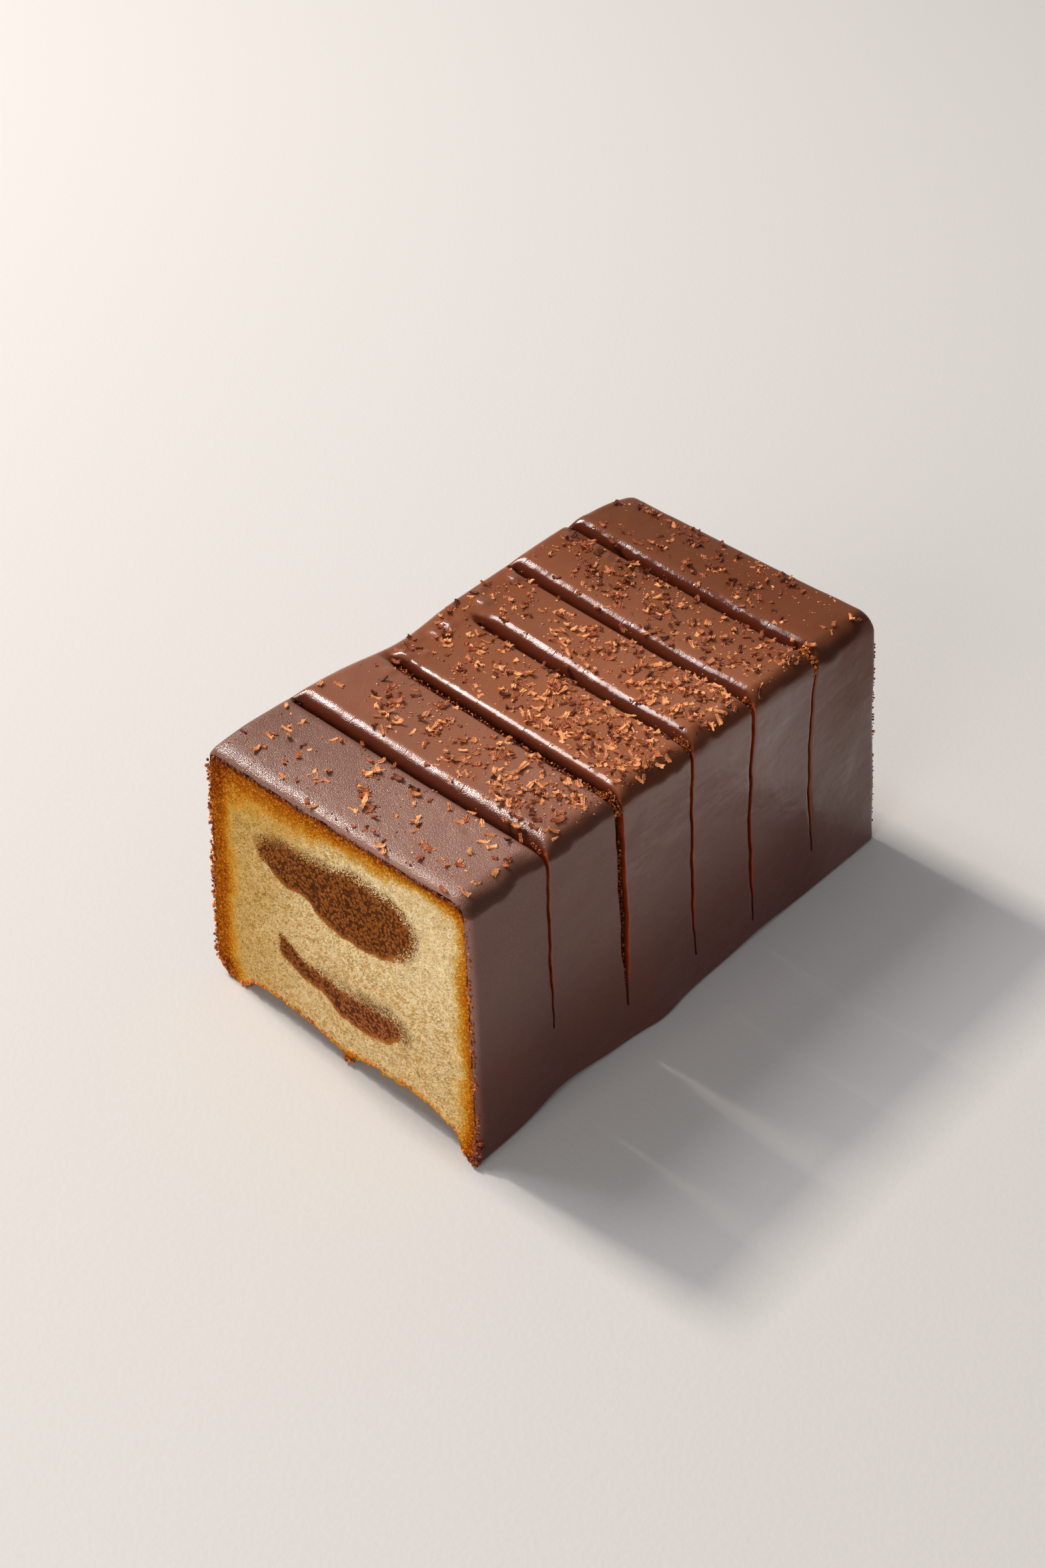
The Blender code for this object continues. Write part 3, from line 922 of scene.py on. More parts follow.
@dataclass(frozen=True)
class ChocolateFinish:
    """The set chocolate coat: satin on the front slice and glossier behind it. Its colour holds painted
    light: painted shade and sheen that make the sides darker and greyer, painted shade low on the sides,
    towards the rear and the left, on the right roundover, on the slits' lips and in their cracks, and painted
    sheen on the right of the second slice.

    Sizes and depths are in millimetres.
    """

    colour: Colour = (0.250, 0.080, 0.0305)
    redder: Colour = (0.262, 0.076, 0.026)
    satin: Colour = (0.200, 0.086, 0.055)
    # Painted shade and sheen: the sides darker and greyer than the top.
    side: Colour = (0.166, 0.064, 0.045)
    # Painted shade: the sides darker low down.
    low: Colour = (0.092, 0.024, 0.015)
    # Painted shade: laid on the slits' lips and walls and in the cracks of their beads.
    deep: Colour = (0.066, 0.010, 0.004)
    torn: Colour = (0.250, 0.036, 0.008)
    # Painted shade: laid towards the rear, towards the left and on the right roundover.
    shaded: Colour = (0.030, 0.006, 0.002)
    glow: Colour = (1.0, 0.4, 0.2)
    glow_reach: float = 0.8
    cloud_size: float = 9.0
    smear_size: Triple = (12.0, 9.0, 4.0)
    smear_degrees: float = 25.0
    smear_depth: float = 0.3
    ripple_size: float = 1.6
    ripple_depth: float = 0.06
    grit_size: float = 0.26
    grit_depth: float = 0.14
    crack_spacing: Triple = (17.0, 90.0, 90.0)
    crack_depth: float = 0.07

    def material(self) -> Material:
        """Makes the coat's material.

        Returns:
            The material, which reads the numbers that the coat's mesh stores.
        """
        shader = Shader("chocolate_coat")
        names = ("frost_and_sheen", "crest", "side", "low", "shade", "lip", "bead")
        frost_and_sheen, crest, side, low, shade, lip, bead = (shader.value(name) for name in names)
        smear = shader.noise(1.0, 2.0, shader.stretched(self.smear_size, self.smear_degrees))
        cracks = shader.cracks(shader.stretched(self.crack_spacing))
        cracked = shader.times(shader.span(cracks, 0.0, 0.012, 1.0, 0.0), bead)
        colour = shader.layered(
            self.colour,
            (shader.span(shader.noise(self.cloud_size), 0.35, 0.65), self.redder),
            # the frosted front slice's satin colour, and painted sheen on the right of the second slice
            (shader.times(frost_and_sheen, 0.9), self.satin),
            # painted shade and sheen on the sides, and more painted shade low on them
            (side, self.side),
            (low, self.low),
            # painted shade towards the rear and the left and on the right roundover
            (shade, self.shaded),
            # painted shade on the slits' lips
            (lip, self.deep),
            (shader.value("torn"), self.torn),
            # painted shade in the cracks
            (shader.times(cracked, 0.35), self.deep),
        )
        rough = shader.raised(shader.span(smear, 0.3, 0.7, 0.22, 0.33), frost_and_sheen, 0.17)
        gritty = shader.larger(frost_and_sheen, shader.times(crest, 0.16))
        relief = shader.relief(
            (smear, self.smear_depth),
            (shader.noise(self.ripple_size), self.ripple_depth),
            (shader.times(shader.noise(self.grit_size, 1.0), gritty), self.grit_depth),
            (cracked, -self.crack_depth),
        )
        wet = shader.times(
            shader.raised(shader.span(shade, 0.0, 0.6, 0.6, 0.1), frost_and_sheen, -0.2),
            shader.span(low, 0.1, 0.7, 1.0, 0.25),
            shader.span(lip, 0.1, 0.9, 1.0, 0.2),
        )
        wet_rough = shader.times(
            shader.span(frost_and_sheen, 0.0, 1.0, 0.11, 0.3), shader.span(bead, 0.2, 0.8, 1.0, 0.6)
        )
        gloss = shader.times(
            shader.raised(0.18, shader.larger(frost_and_sheen, side), 0.32),
            shader.span(low, 0.1, 0.7, 1.0, 0.5),
            shader.span(shade, 0.0, 0.6, 1.0, 0.35),
            shader.span(lip, 0.1, 0.9, 1.0, 0.1),
        )
        return shader.finish(
            Base_Color=colour, Roughness=shader.raised(rough, bead, -0.06), Normal=relief,
            Specular_IOR_Level=gloss, Coat_Weight=shader.larger(wet, bead), Coat_Roughness=wet_rough,
            Coat_Normal=relief,
            Subsurface_Weight=0.05, Subsurface_Radius=self.glow, Subsurface_Scale=self.glow_reach * MM,
        )


@dataclass(frozen=True)
class MorselFinish:
    """Small morsels that each have a tone, from light to dark. Sizes are in millimetres."""

    name: str
    dark: Colour
    middle: Colour
    light: Colour
    roughness: float
    streak: float
    shine: float = 0.4
    streak_size: float = 0.22
    streak_depth: float = 0.07

    def material(self) -> Material:
        """Makes the morsels' material.

        Returns:
            The material, which reads the tones that the morsels' mesh stores.
        """
        shader = Shader(self.name)
        streaks = shader.noise(self.streak_size)
        tone = shader.strayed(shader.value("tone"), streaks, self.streak)
        colour = shader.ramp(tone, ((0.05, self.dark), (0.4, self.middle), (0.9, self.light)))
        relief = shader.relief((streaks, self.streak_depth))
        return shader.finish(
            Base_Color=colour, Roughness=self.roughness, Normal=relief, Specular_IOR_Level=self.shine
        )


SHAVED = MorselFinish(
    "shaved_chocolate", (0.085, 0.014, 0.005), (0.33, 0.080, 0.028), (0.78, 0.33, 0.13), 0.55, 0.75, 0.2
)
MELTED = MorselFinish(
    "melted_chocolate", (0.12, 0.03, 0.015), (0.20, 0.06, 0.03), (0.34, 0.13, 0.07), 0.12, 0.1
)
BROWNED = MorselFinish(
    "browned_crumbs", (0.085, 0.013, 0.004), (0.34, 0.066, 0.006), (0.74, 0.225, 0.024), 0.42, 0.5, 0.35
)


@dataclass(frozen=True)
class FloorFinish:
    """A plain pale matt floor, with the faintest grain. Sizes are in millimetres."""

    colour: Colour = (0.52, 0.502, 0.483)
    darker: float = 0.96
    grain_size: float = 1.2
    grain_depth: float = 0.05

    def material(self) -> Material:
        """Makes the floor's material.

        Returns:
            The material.
        """
        shader = Shader("pale_floor")
        grain = shader.noise(self.grain_size, 3.0)
        darker = tuple(part * self.darker for part in self.colour)
        return shader.finish(
            Base_Color=shader.layered(darker, (grain, self.colour)), Roughness=0.75,
            Normal=shader.relief((grain, self.grain_depth)),
        )


# The crumb


@dataclass(frozen=True)
class Marbling:
    """Cocoa marbling on a cut: strokes of round dabs, each an x, a z and a radius."""

    upper: tuple = (
        (-19.0, 44.3, 3.7), (-15.0, 44.6, 6.0), (-10.8, 44.4, 5.9), (-6.3, 44.3, 5.4), (-2.0, 43.6, 7.6),
        (3.5, 43.6, 8.9), (9.0, 44.0, 9.0), (14.5, 45.9, 6.3), (18.2, 46.4, 2.8),
    )
    lower: tuple = (
        (-16.2, 23.0, 1.6), (-15.0, 20.4, 2.7), (-11.5, 18.7, 3.0), (-7.5, 18.1, 2.8), (-3.5, 17.5, 2.7),
        (0.0, 16.6, 3.2), (3.5, 16.3, 3.8), (7.5, 17.0, 4.1), (11.5, 17.3, 4.1), (14.8, 18.8, 2.7),
    )
    softness: float = 0.7
    strays: tuple = ((0.55, 5.0), (0.4, 2.0))
    rear_shift: Pair = (3.0, -2.0)
    seam: tuple[float, float, float, float] = (-6.6, 42.0, 0.7, 3.4)
    turn_y: Pair = mm(-30, 40)
    upper_under: Pair = (45.0, 37.0)
    lower_under: Pair = (24.0, 15.0)
    upper_halo: Pair = (0.2, 1.5)
    lower_halo: Pair = (0.4, 3.4)
    upper_ash: float = 0.8
    upper_ash_z: Pair = (43.0, 48.0)
    upper_ash_x: Pair = (14.0, 19.0)
    lower_ash_z: Pair = (16.0, 19.0)
    lower_ash_x: Pair = (-19.0, 12.0)
    paler_x: Pair = (-14.0, 8.0)
    paler_z: Pair = (32.0, 26.0)

    def stroke(self, x: Array, z: Array, dabs: tuple) -> Array:
        """How far inside a stroke places lie.

        Args:
            x: Across the loaf, in millimetres.
            z: Above the base, in millimetres.
            dabs: The stroke's dabs.

        Returns:
            The distance from its edge in millimetres, negative outside it.
        """
        insides = [radius - np.hypot(x - at_x, z - at_z) for at_x, at_z, radius in dabs]
        shares = [np.exp(np.clip(inside / self.softness, -60, 30)) for inside in insides]
        return self.softness * np.log(sum(shares))

    def values(self, x: Array, y: Array, z: Array) -> dict[str, Array]:
        """The marbling's numbers at places of the straight loaf.

        Args:
            x: Across the loaf, in metres.
            y: Along it.
            z: Above the base.

        Returns:
            For each place: how far it lies inside the cocoa in millimetres, and from 0 to 1 how far
            it is under a stroke's middle, on the seam between two strokes, in the ashen crumb and
            in the paler part of the cocoa.
        """
        rear = np.round(smooth_step(y, *self.turn_y))
        at_x = (1 - 2 * rear) * x / MM - rear * self.rear_shift[0]
        at_z = z / MM - rear * self.rear_shift[1]
        points = stacked(at_x, rear * 40, at_z)
        for turn, (amount, cell) in enumerate(self.strays):
            at_x = at_x + amount * soft_noise(points, cell, 50 + turn)
            at_z = at_z + amount * soft_noise(points, cell, 60 + turn)
        upper, lower = self.stroke(at_x, at_z, self.upper), self.stroke(at_x, at_z, self.lower)
        seam_x, seam_z, half_width, half_height = self.seam
        upper_edge = smooth_step(at_z, *self.upper_ash_z) + smooth_step(at_x, *self.upper_ash_x)
        upper_ash = self.upper_ash * self.halo(upper, *self.upper_halo) * np.minimum(upper_edge, 1)
        lower_ash = self.halo(lower, *self.lower_halo) * smooth_step(at_z, *self.lower_ash_z)
        lower_ash = lower_ash * smooth_step(at_x, *self.lower_ash_x)
        under = smooth_step(at_z, *self.upper_under), smooth_step(at_z, *self.lower_under)
        return {
            "cocoa": np.maximum(upper, lower),
            "below": np.where(upper > lower, *under),
            "seam": np.exp(-(((at_x - seam_x) / half_width) ** 2) - ((at_z - seam_z) / half_height) ** 2),
            "ash": np.maximum(lower_ash, upper_ash),
            "paler": smooth_step(at_x, *self.paler_x) * smooth_step(at_z, *self.paler_z),
        }

    @staticmethod
    def halo(inside: Array, start: float, reach: float) -> Array:
        """1 in a stroke and less and less outside it, in millimetres."""
        return np.exp(-((np.minimum(inside + start, 0) / reach) ** 2))


@dataclass(frozen=True)
class CrustBand:
    """How far and how darkly the loaf is browned in from one of its sides."""

    strength: Values
    reach: Values
    fade: Values

    def at(self, distance: Array, wavy: Array) -> Array:
        """How browned places at this distance from the side are, from 0 to 1."""
        past = np.maximum(distance / wavy - self.reach, 0) / self.fade
        return self.strength * np.exp(-(past**1.3))


@dataclass(frozen=True)
class Browning:
    """Where the loaf is browned: in bands along its sides and in spots at its lower corners.

    A spot is an x, a z, how much more height counts than width, its reach and its strength.
    """

    waves: tuple = ((0.22, 7 * MM, 21), (0.16, 2.2 * MM, 22))
    across: float = 1.6
    high: Pair = mm(35, 58)
    spots: tuple = (
        (SHAPE.left_strip[0], 3 * MM, 1.3, 4.5 * MM, 0.4),
        (SHAPE.right_strip[1], 0.0, 0.5, 4.0 * MM, 0.45),
        (SHAPE.nub_centre[0], 1.5 * MM, 1.0, 1.8 * MM, 0.45),
    )

    def at(self, x: Array, y: Array, z: Array) -> Array:
        """How browned the straight loaf is.

        Args:
            x: Across the loaf.
            y: Along it.
            z: Above the base.

        Returns:
            From 0 in the middle to 1 on the crust.
        """
        wavy = 1 + summed_noise(stacked(x, y, z), self.waves)
        across = np.clip((x + SHAPE.top_half_width) / (self.across * SHAPE.top_half_width), 0, 1)
        lean = math.cos(SHAPE.lean)
        from_left = (x + SHAPE.side_x(z) - SHAPE.left_coat) * lean
        from_right = (SHAPE.side_x(z) - SHAPE.coat - x) * lean
        from_top = SHAPE.height - SHAPE.coat - z
        from_base = z - SHAPE.underside(np.clip(x, SHAPE.left_strip[1], SHAPE.right_strip[0]), y)
        high = smooth_step(z, *self.high)
        bands = (
            (from_left, CrustBand(mix(0.56, 0.44, high), 3.0 * MM, 3.2 * MM)),
            (from_right, CrustBand(mix(0.52, 0.46, high), 0.3 * MM, mix(3.3, 2.3, high) * MM)),
            (from_top, CrustBand(0.50, mix(4.8, 0.9, across) * MM, mix(6.6, 2.1, across) * MM)),
            (from_top, CrustBand(0.8, mix(0.4, 0.0, across) * MM, 0.8 * MM)),
            (from_base, CrustBand(0.34, 0.1 * MM, 0.8 * MM)),
        )
        clear = 1.0
        for distance, band in bands:
            clear = clear * (1 - band.at(distance, wavy))
        for spot_x, spot_z, upright, reach, strength in self.spots:
            distance = np.hypot(x - spot_x, (z - spot_z) * upright) / reach
            clear = clear * (1 - strength * np.exp(-(distance**2)))
        return 1 - clear


@dataclass(frozen=True)
class CrumbSkin:
    """The pores and granules of the two cuts, and the ragged edges round them.

    A noise is a height in millimetres, the size of its lumps and a seed. Pores and granules are
    the mean distance between them and a seed. Other heights and depths are in millimetres.
    """

    stroke_stretch: float = 1.8
    grain: tuple = ((1.0, 0.62 * MM, 5), (0.8, 1.5 * MM, 6))
    grain_height: float = 0.11
    small_pores: tuple[float, int] = (0.8 * MM, 3)
    small_depth: float = 0.15
    large_pores: tuple[float, int] = (4.5 * MM, 11)
    large_depth: float = 0.4
    large_draw: float = 0.72
    granules: tuple[float, int] = (0.9 * MM, 8)
    granule_radius: float = 0.45
    granule_height: float = 0.6
    swells: tuple = ((0.15, 6 * MM, 7),)
    side: tuple = ((0.35 * MM, 0.8 * MM, 9),)
    side_dent: float = 0.25 * MM
    side_from: Pair = mm(0.5, 2.0)
    side_beyond: float = 30 * MM
    right_share: float = 0.2
    rim_reach: Pair = mm(3, 0.5)
    foot_height: float = 6 * MM
    ragged: tuple = ((0.6, 1.1 * MM, 10), (0.6, 2.8 * MM, 12))
    ragged_reach: float = 1.5 * MM
    ragged_height: float = 8 * MM
    flat_strip: Pair = mm(0.05, 0.3)

    def heights(self, points: Array, crust: Array) -> tuple[Array, Array]:
        """How uneven the cuts are.

        Args:
            points: Places of the straight loaf.
            crust: How browned each is, from 0 to 1.

        Returns:
            How proud each place stands, and how deep in a pore it lies, from 0 to 1.
        """
        x, y, z = points.T
        angle = math.radians(GRAIN_DEGREES)
        along = x * math.cos(angle) - z * math.sin(angle)
        up = x * math.sin(angle) + z * math.cos(angle)
        strokes = stacked(along / self.stroke_stretch, y, up)
        distance, draw = pore_noise(strokes, *self.small_pores)
        small = smooth_step(distance, 0.5, 0.1) * smooth_step(draw, 0.55, 1.0)
        distance, draw = pore_noise(points, *self.large_pores)
        large = smooth_step(distance, 0.13, 0.04) * (draw > self.large_draw)
        distance, _ = pore_noise(points, *self.granules)
        height = self.grain_height * summed_noise(strokes, self.grain)
        height = height - self.small_depth * small - self.large_depth * large
        height = height + self.granule_height * (self.granule_radius - distance) * crust
        return (height + summed_noise(points, self.swells)) * MM, np.clip(0.6 * small + large, 0, 1)

    def moves(self, points: Array, cube: Array, crust: Array) -> tuple[Array, Array]:
        """How the crumb strays from its smooth form.

        Args:
            points: Places of the straight loaf.
            cube: The same places on the divided cube.
            crust: How browned each is, from 0 to 1.

        Returns:
            How each place is moved, and how deep in a pore it lies, from 0 to 1.
        """
        x, y, z = points.T
        left, front, low = (cube < -ON_FACE).T
        right, rear, _ = (cube > ON_FACE).T
        height, hollow = self.heights(points, crust)
        underside = SHAPE.underside(x, y)
        on_strip = low & (underside < self.flat_strip[0]) | (z < self.flat_strip[1])
        outward = np.maximum(summed_noise(points, self.side) * crust, -self.side_dent)
        outward = outward * smooth_step(z, *self.side_from) * (right * self.right_share - left * 1.0)
        rim_room = smooth_step(SHAPE.length / 2 - np.abs(y), *self.rim_reach) * left + (z < self.foot_height)
        edge = smooth_step(z - underside, self.ragged_reach, 0.0) * ~on_strip * (z < self.ragged_height)
        move = stacked(
            outward * np.clip(rim_room, 0, 1) * (np.abs(x) > self.side_beyond),
            height * (rear * 1.0 - front * 1.0),
            summed_noise(points, self.ragged) * MM * edge * (low | front | rear),
        )
        return move, hollow * (front | rear)


@dataclass
class Crumb:
    """The loaf's crumb: one closed skin with both cut faces, the knife cuts and the arched base."""

    columns: int = 60
    levels: int = 52
    line_step: float = 3.4 * MM
    front_cuts: int = 3
    rear_cuts: int = 1
    end_gap: float = 0.06 * MM
    end_reach: float = 2.5 * MM
    lip_under: float = 0.5 * MM
    outline_steps: int = 60
    corner_steps: int = 8
    nub_drop: float = 2.1 * MM
    nub_radius: float = 1.35 * MM
    nub_below: float = 5.5 * MM
    toast_and_shade_x: Pair = mm(-38, 18)
    toast_and_shade_lean: float = 0.25
    fair_x: Pair = mm(-4, 22)
    fair_z: Pair = mm(16, 52)
    low_z: Pair = mm(50, 4)
    low_share: float = 0.5
    # How dark the knife cuts' walls are coloured: chocolate stain and painted shade.
    cut_stain_and_shade: float = 0.7
    browning: Browning = field(default_factory=Browning)
    skin: CrumbSkin = field(default_factory=CrumbSkin)
    marbling: Marbling = field(default_factory=Marbling)
    finish: CrumbFinish = field(default_factory=CrumbFinish)

    def lines(self) -> list[Line | Between]:
        """Lays the lines across the crumb.

        Returns:
            The lines, from its front cut to its rear one.
        """
        round_lip = (0, 20, 45, 90)
        lines = [Line(Edge.FRONT, degrees) for degrees in round_lip]
        walls = (1.0, 0.35, 0.1)
        for slit in (*SLITS, None):
            near_edge = Edge.REAR if slit is None else Edge.NEAR_LIP
            near = [Line(near_edge, degrees, slit) for degrees in reversed(round_lip)]
            lines += lines_between(lines[-1], near[0], self.line_step) + near
            if slit:
                lines += [Line(Edge.NEAR_LIP, 0, slit, wall) for wall in reversed(walls)]
                lines += [Line(Edge.FAR_LIP, 0, slit, wall) for wall in walls]
                lines += [Line(Edge.FAR_LIP, degrees, slit) for degrees in round_lip]
        return lines

    def block(self, rows: int) -> BMesh:
        """Divides a cube across, along and up, and more finely on its two ends.

        Args:
            rows: How many divisions it has along.

        Returns:
            The cube, from -1 to 1.
        """
        bm = bmesh.new()
        bmesh.ops.create_cube(bm, size=2)
        for axis, count in enumerate((self.columns, rows, self.levels)):
            edges = [edge for edge in bm.edges if abs(edge.verts[0].co[axis] - edge.verts[1].co[axis]) > 1]
            bmesh.ops.subdivide_edges(bm, edges=edges, cuts=count - 1, use_grid_fill=True)
        for end, cuts in ((-1, self.front_cuts), (1, self.rear_cuts)):
            edges = [edge for edge in bm.edges if all(abs(vert.co.y - end) < 1e-4 for vert in edge.verts)]
            bmesh.ops.subdivide_edges(bm, edges=edges, cuts=cuts, use_grid_fill=True)
        return bm

    def outline(self) -> dict[str, Array]:
        """The crumb's four sides at the coat's inner face.

        Returns:
            For each side, points evenly along it: x, z, the way in as an x and a z, and the place
            on the girth.
        """
        far_off = 1.0
        steps = self.outline_steps
        strip, corner = SHAPE.left_strip[0], SHAPE.left_corner
        side = SHAPE.left_coat - SHAPE.side_x(corner)

        def girth_curve(places: Array) -> Array:
            """The crumb's outline along places of the girth."""
            depth = SHAPE.coat_depth(places)
            x, z = SHAPE.girth(places, far_off, depth)
            deeper_x, deeper_z = SHAPE.girth(places, far_off, depth + 1.0)
            return stacked(x, z, deeper_x - x, deeper_z - z, places)

        def corner_curve(degrees: Array) -> Array:
            """The rounded lower left corner, from 0 on the strip to 90 on the side."""
            angle = np.radians(degrees)
            x, z = mix(strip, side, np.sin(angle)), corner * (1 - np.cos(angle))
            return stacked(x, z, np.sin(angle), 0.0, 0.0)

        left_corner = corner_curve(np.linspace(45, 90, self.corner_steps))
        left = np.concatenate([left_corner, girth_curve(np.linspace(0.01, 1.5, steps))])
        top = girth_curve(np.linspace(1.5, 3.5, steps * 2))
        foot = np.array([[SHAPE.right_strip[1] + SHAPE.gap, 0.0, -1.0, 0.0, 5.0]])
        right = np.concatenate([foot, girth_curve(np.linspace(5.0, 3.5, steps))])
        arch_x = np.linspace(SHAPE.left_strip[1], SHAPE.right_strip[0], steps)
        arch = stacked(arch_x, 0.0 * arch_x, 0.0, 0.0, 0.0)
        bottom = np.concatenate([corner_curve(np.linspace(45, 0, self.corner_steps)), arch, foot])
        sides = {"left": left, "top": top, "right": right, "bottom": bottom}
        return {name: self.evenly(points) for name, points in sides.items()}

    @staticmethod
    def evenly(points: Array) -> Array:
        """Measures the way along a curve.

        Args:
            points: Its points, one to a row.

        Returns:
            The points, with their share of the way along as a first column.
        """
        steps = np.hypot(*np.diff(points[:, :2], axis=0).T)
        way = np.concatenate([[0.0], np.cumsum(steps)])
        return np.column_stack([way / way[-1], points])

    def section(self, u: Array, w: Array, y: Array, gap: Array) -> tuple:
        """Places in the crumb's section, spread smoothly between its four sides.

        Args:
            u: Share of the way across.
            w: Share of the way up.
            y: Along the loaf.
            gap: How far inside the coat the outline lies.

        Returns:
            x, z, the way in as an x and a z, and the place on the girth.
        """
        sides = self.outline()

        def along(name: str, share: Array) -> Array:
            """The points of a side at these shares of its length."""
            side = sides[name]
            point = np.stack([np.interp(share, side[:, 0], side[:, column]) for column in range(1, 6)])
            point[:2] += point[2:4] * gap
            if name == "bottom":
                front = -SHAPE.length / 2
                lift = SHAPE.left_lift * smooth_step(y, front + SHAPE.lift_reach, front)
                low = smooth_step(point[0], SHAPE.ridge_x, SHAPE.left_strip[1])
                point[1] += SHAPE.underside(point[0], y) + lift * low
            return point

        left, right, bottom, top = along("left", w), along("right", w), along("bottom", u), along("top", u)
        corners = (
            (1 - u) * (1 - w) * along("bottom", 0 * u) + u * (1 - w) * along("bottom", 0 * u + 1)
            + (1 - u) * w * along("top", 0 * u) + u * w * along("top", 0 * u + 1)
        )
        return tuple((1 - u) * left + u * right + (1 - w) * bottom + w * top - corners)

    def shaped(self, cube: Array, lines: list[Line | Between]) -> tuple[Array, ...]:
        """The crumb's straight form.

        Args:
            cube: Places on the divided cube.
            lines: The lines across the crumb.

        Returns:
            x, y and z of each place, and how far it lies down a knife cut, from 0 to 1.
        """
        u, w = (cube[:, 0] + 1) / 2, (cube[:, 2] + 1) / 2
        row = step_of(cube[:, 1], len(lines))
        nominal = np.array([line.y(TOP_MIDDLE, 0.0, SHAPE.height) for line in lines])[row]
        near_end = smooth_step(SHAPE.length / 2 - np.abs(nominal), self.end_reach, 0.0)
        gap = mix(SHAPE.gap, self.end_gap, near_end)
        x, z, in_x, in_z, place = self.section(u, w, nominal, gap)
        rim = (np.abs(cube[:, 0]) > ON_FACE) | (cube[:, 2] > ON_FACE)
        y, deep = np.zeros(len(cube)), np.zeros(len(cube))
        for number, line in enumerate(lines):
            chosen = row == number
            at = [values[chosen] for values in (x, z, in_x, in_z, place)]
            x[chosen], y[chosen], z[chosen], deep[chosen] = self.on_line(line, *at, rim[chosen])
        away = np.hypot(x - SHAPE.nub_centre[0], y - SHAPE.nub_centre[1]) / self.nub_radius
        low = smooth_step(z, self.nub_below, SHAPE.ridge_height)
        return x, y, z - self.nub_drop * np.exp(-(away**2)) * low, deep

    def on_line(self, line: Line | Between, x: Array, z: Array, in_x: Array,
                in_z: Array, place: Array, rim: Array) -> tuple[Array, ...]:
        """Sinks one line across the crumb under the coat's lips and down the knife cut.

        Args:
            line: The line.
            x: Across the loaf.
            z: Above the base.
            in_x: The way in, across.
            in_z: The way in, upwards.
            place: The place on the girth.
            rim: Whether each place is under the coat.

        Returns:
            x, y and z of each place, and how far it lies down the cut, from 0 to 1.
        """
        if not isinstance(line, Line) or line.slit is None:
            return x, line.y(place, x, z), z, 0.0 * x
        slit = line.slit
        sunk = np.maximum(line.sink(place) + self.lip_under - SHAPE.coat_depth(place), 0.0)
        sunk = sunk * line.opening(place) * rim
        x, z = x + in_x * sunk, z + in_z * sunk
        start, end = slit.start + 0.12, SHAPE.slit_end(slit)
        share = np.clip((place - start) / (end - start), 0, 1)
        ends = [SHAPE.girth(np.array(spot), slit.y, SHAPE.coat + SHAPE.gap) for spot in (start, end)]
        blade_x = mix(ends[0][0], ends[1][0], share)
        blade_z = mix(ends[0][1], ends[1][1], share**0.9)
        open_here = (place > start) & (place < end) & rim
        down = line.wall * open_here
        x, z = mix(x, blade_x, down), mix(z, blade_z, down)
        return x, line.y(place, x, z), z, open_here * (line.degrees == 0)

    def build(self) -> Object:
        """Builds and dresses the crumb.

        Returns:
            The object that stands for the node cake.
        """
        lines = self.lines()
        item = mesh_object("crumb", self.block(len(lines) - 1), 75)
        mesh = item.data
        cube = vertex_places(mesh)
        x, y, z, deep = self.shaped(cube, lines)
        crust = self.browning.at(x, y, z)
        move, hollow = self.skin.moves(stacked(x, y, z), cube, crust)
        spots = SHAPE.uneven(x, y, z) + move
        spots[:, 2] = np.maximum(spots[:, 2], 0.0)
        place_vertices(mesh, spots)
        values = {
            # The knife cuts' walls take a dark crust colour: chocolate stain and painted shade.
            "crust": np.where(deep > 0, self.cut_stain_and_shade, crust),
            # How deep in a pore each place lies, which lays painted shade there.
            "hollow": hollow,
            # Browning near the crust and painted shade, strongest at the upper left of the cut.
            "toast_and_shade": 1 - smooth_step(x + self.toast_and_shade_lean * (SHAPE.height - z), *self.toast_and_shade_x),
            # Painted light: the upper right of the cut lighter.
            "fair": smooth_step(x, *self.fair_x) * smooth_step(z, *self.fair_z),
            # Painted shade: the cuts darker towards the bottom.
            "low": self.low_share * smooth_step(z, *self.low_z),
            "cut": deep,
        }
        dress(item, self.finish.material(), values | self.marbling.values(x, y, z))
        return item


# The coat


@dataclass(frozen=True)
class Mark:
    """A small ridge or dent on the coat's top: its middle, its half sizes and how proud it is, in mm."""

    x: float
    y: float
    half_x: float
    half_y: float
    height: float

    def at(self, x: Array, y: Array) -> Array:
        """How proud the mark stands at places of the top, in metres."""
        away = ((x / MM - self.x) / self.half_x) ** 4 + ((y / MM - self.y) / self.half_y / 1.4) ** 2
        return self.height * np.exp(-away) * MM


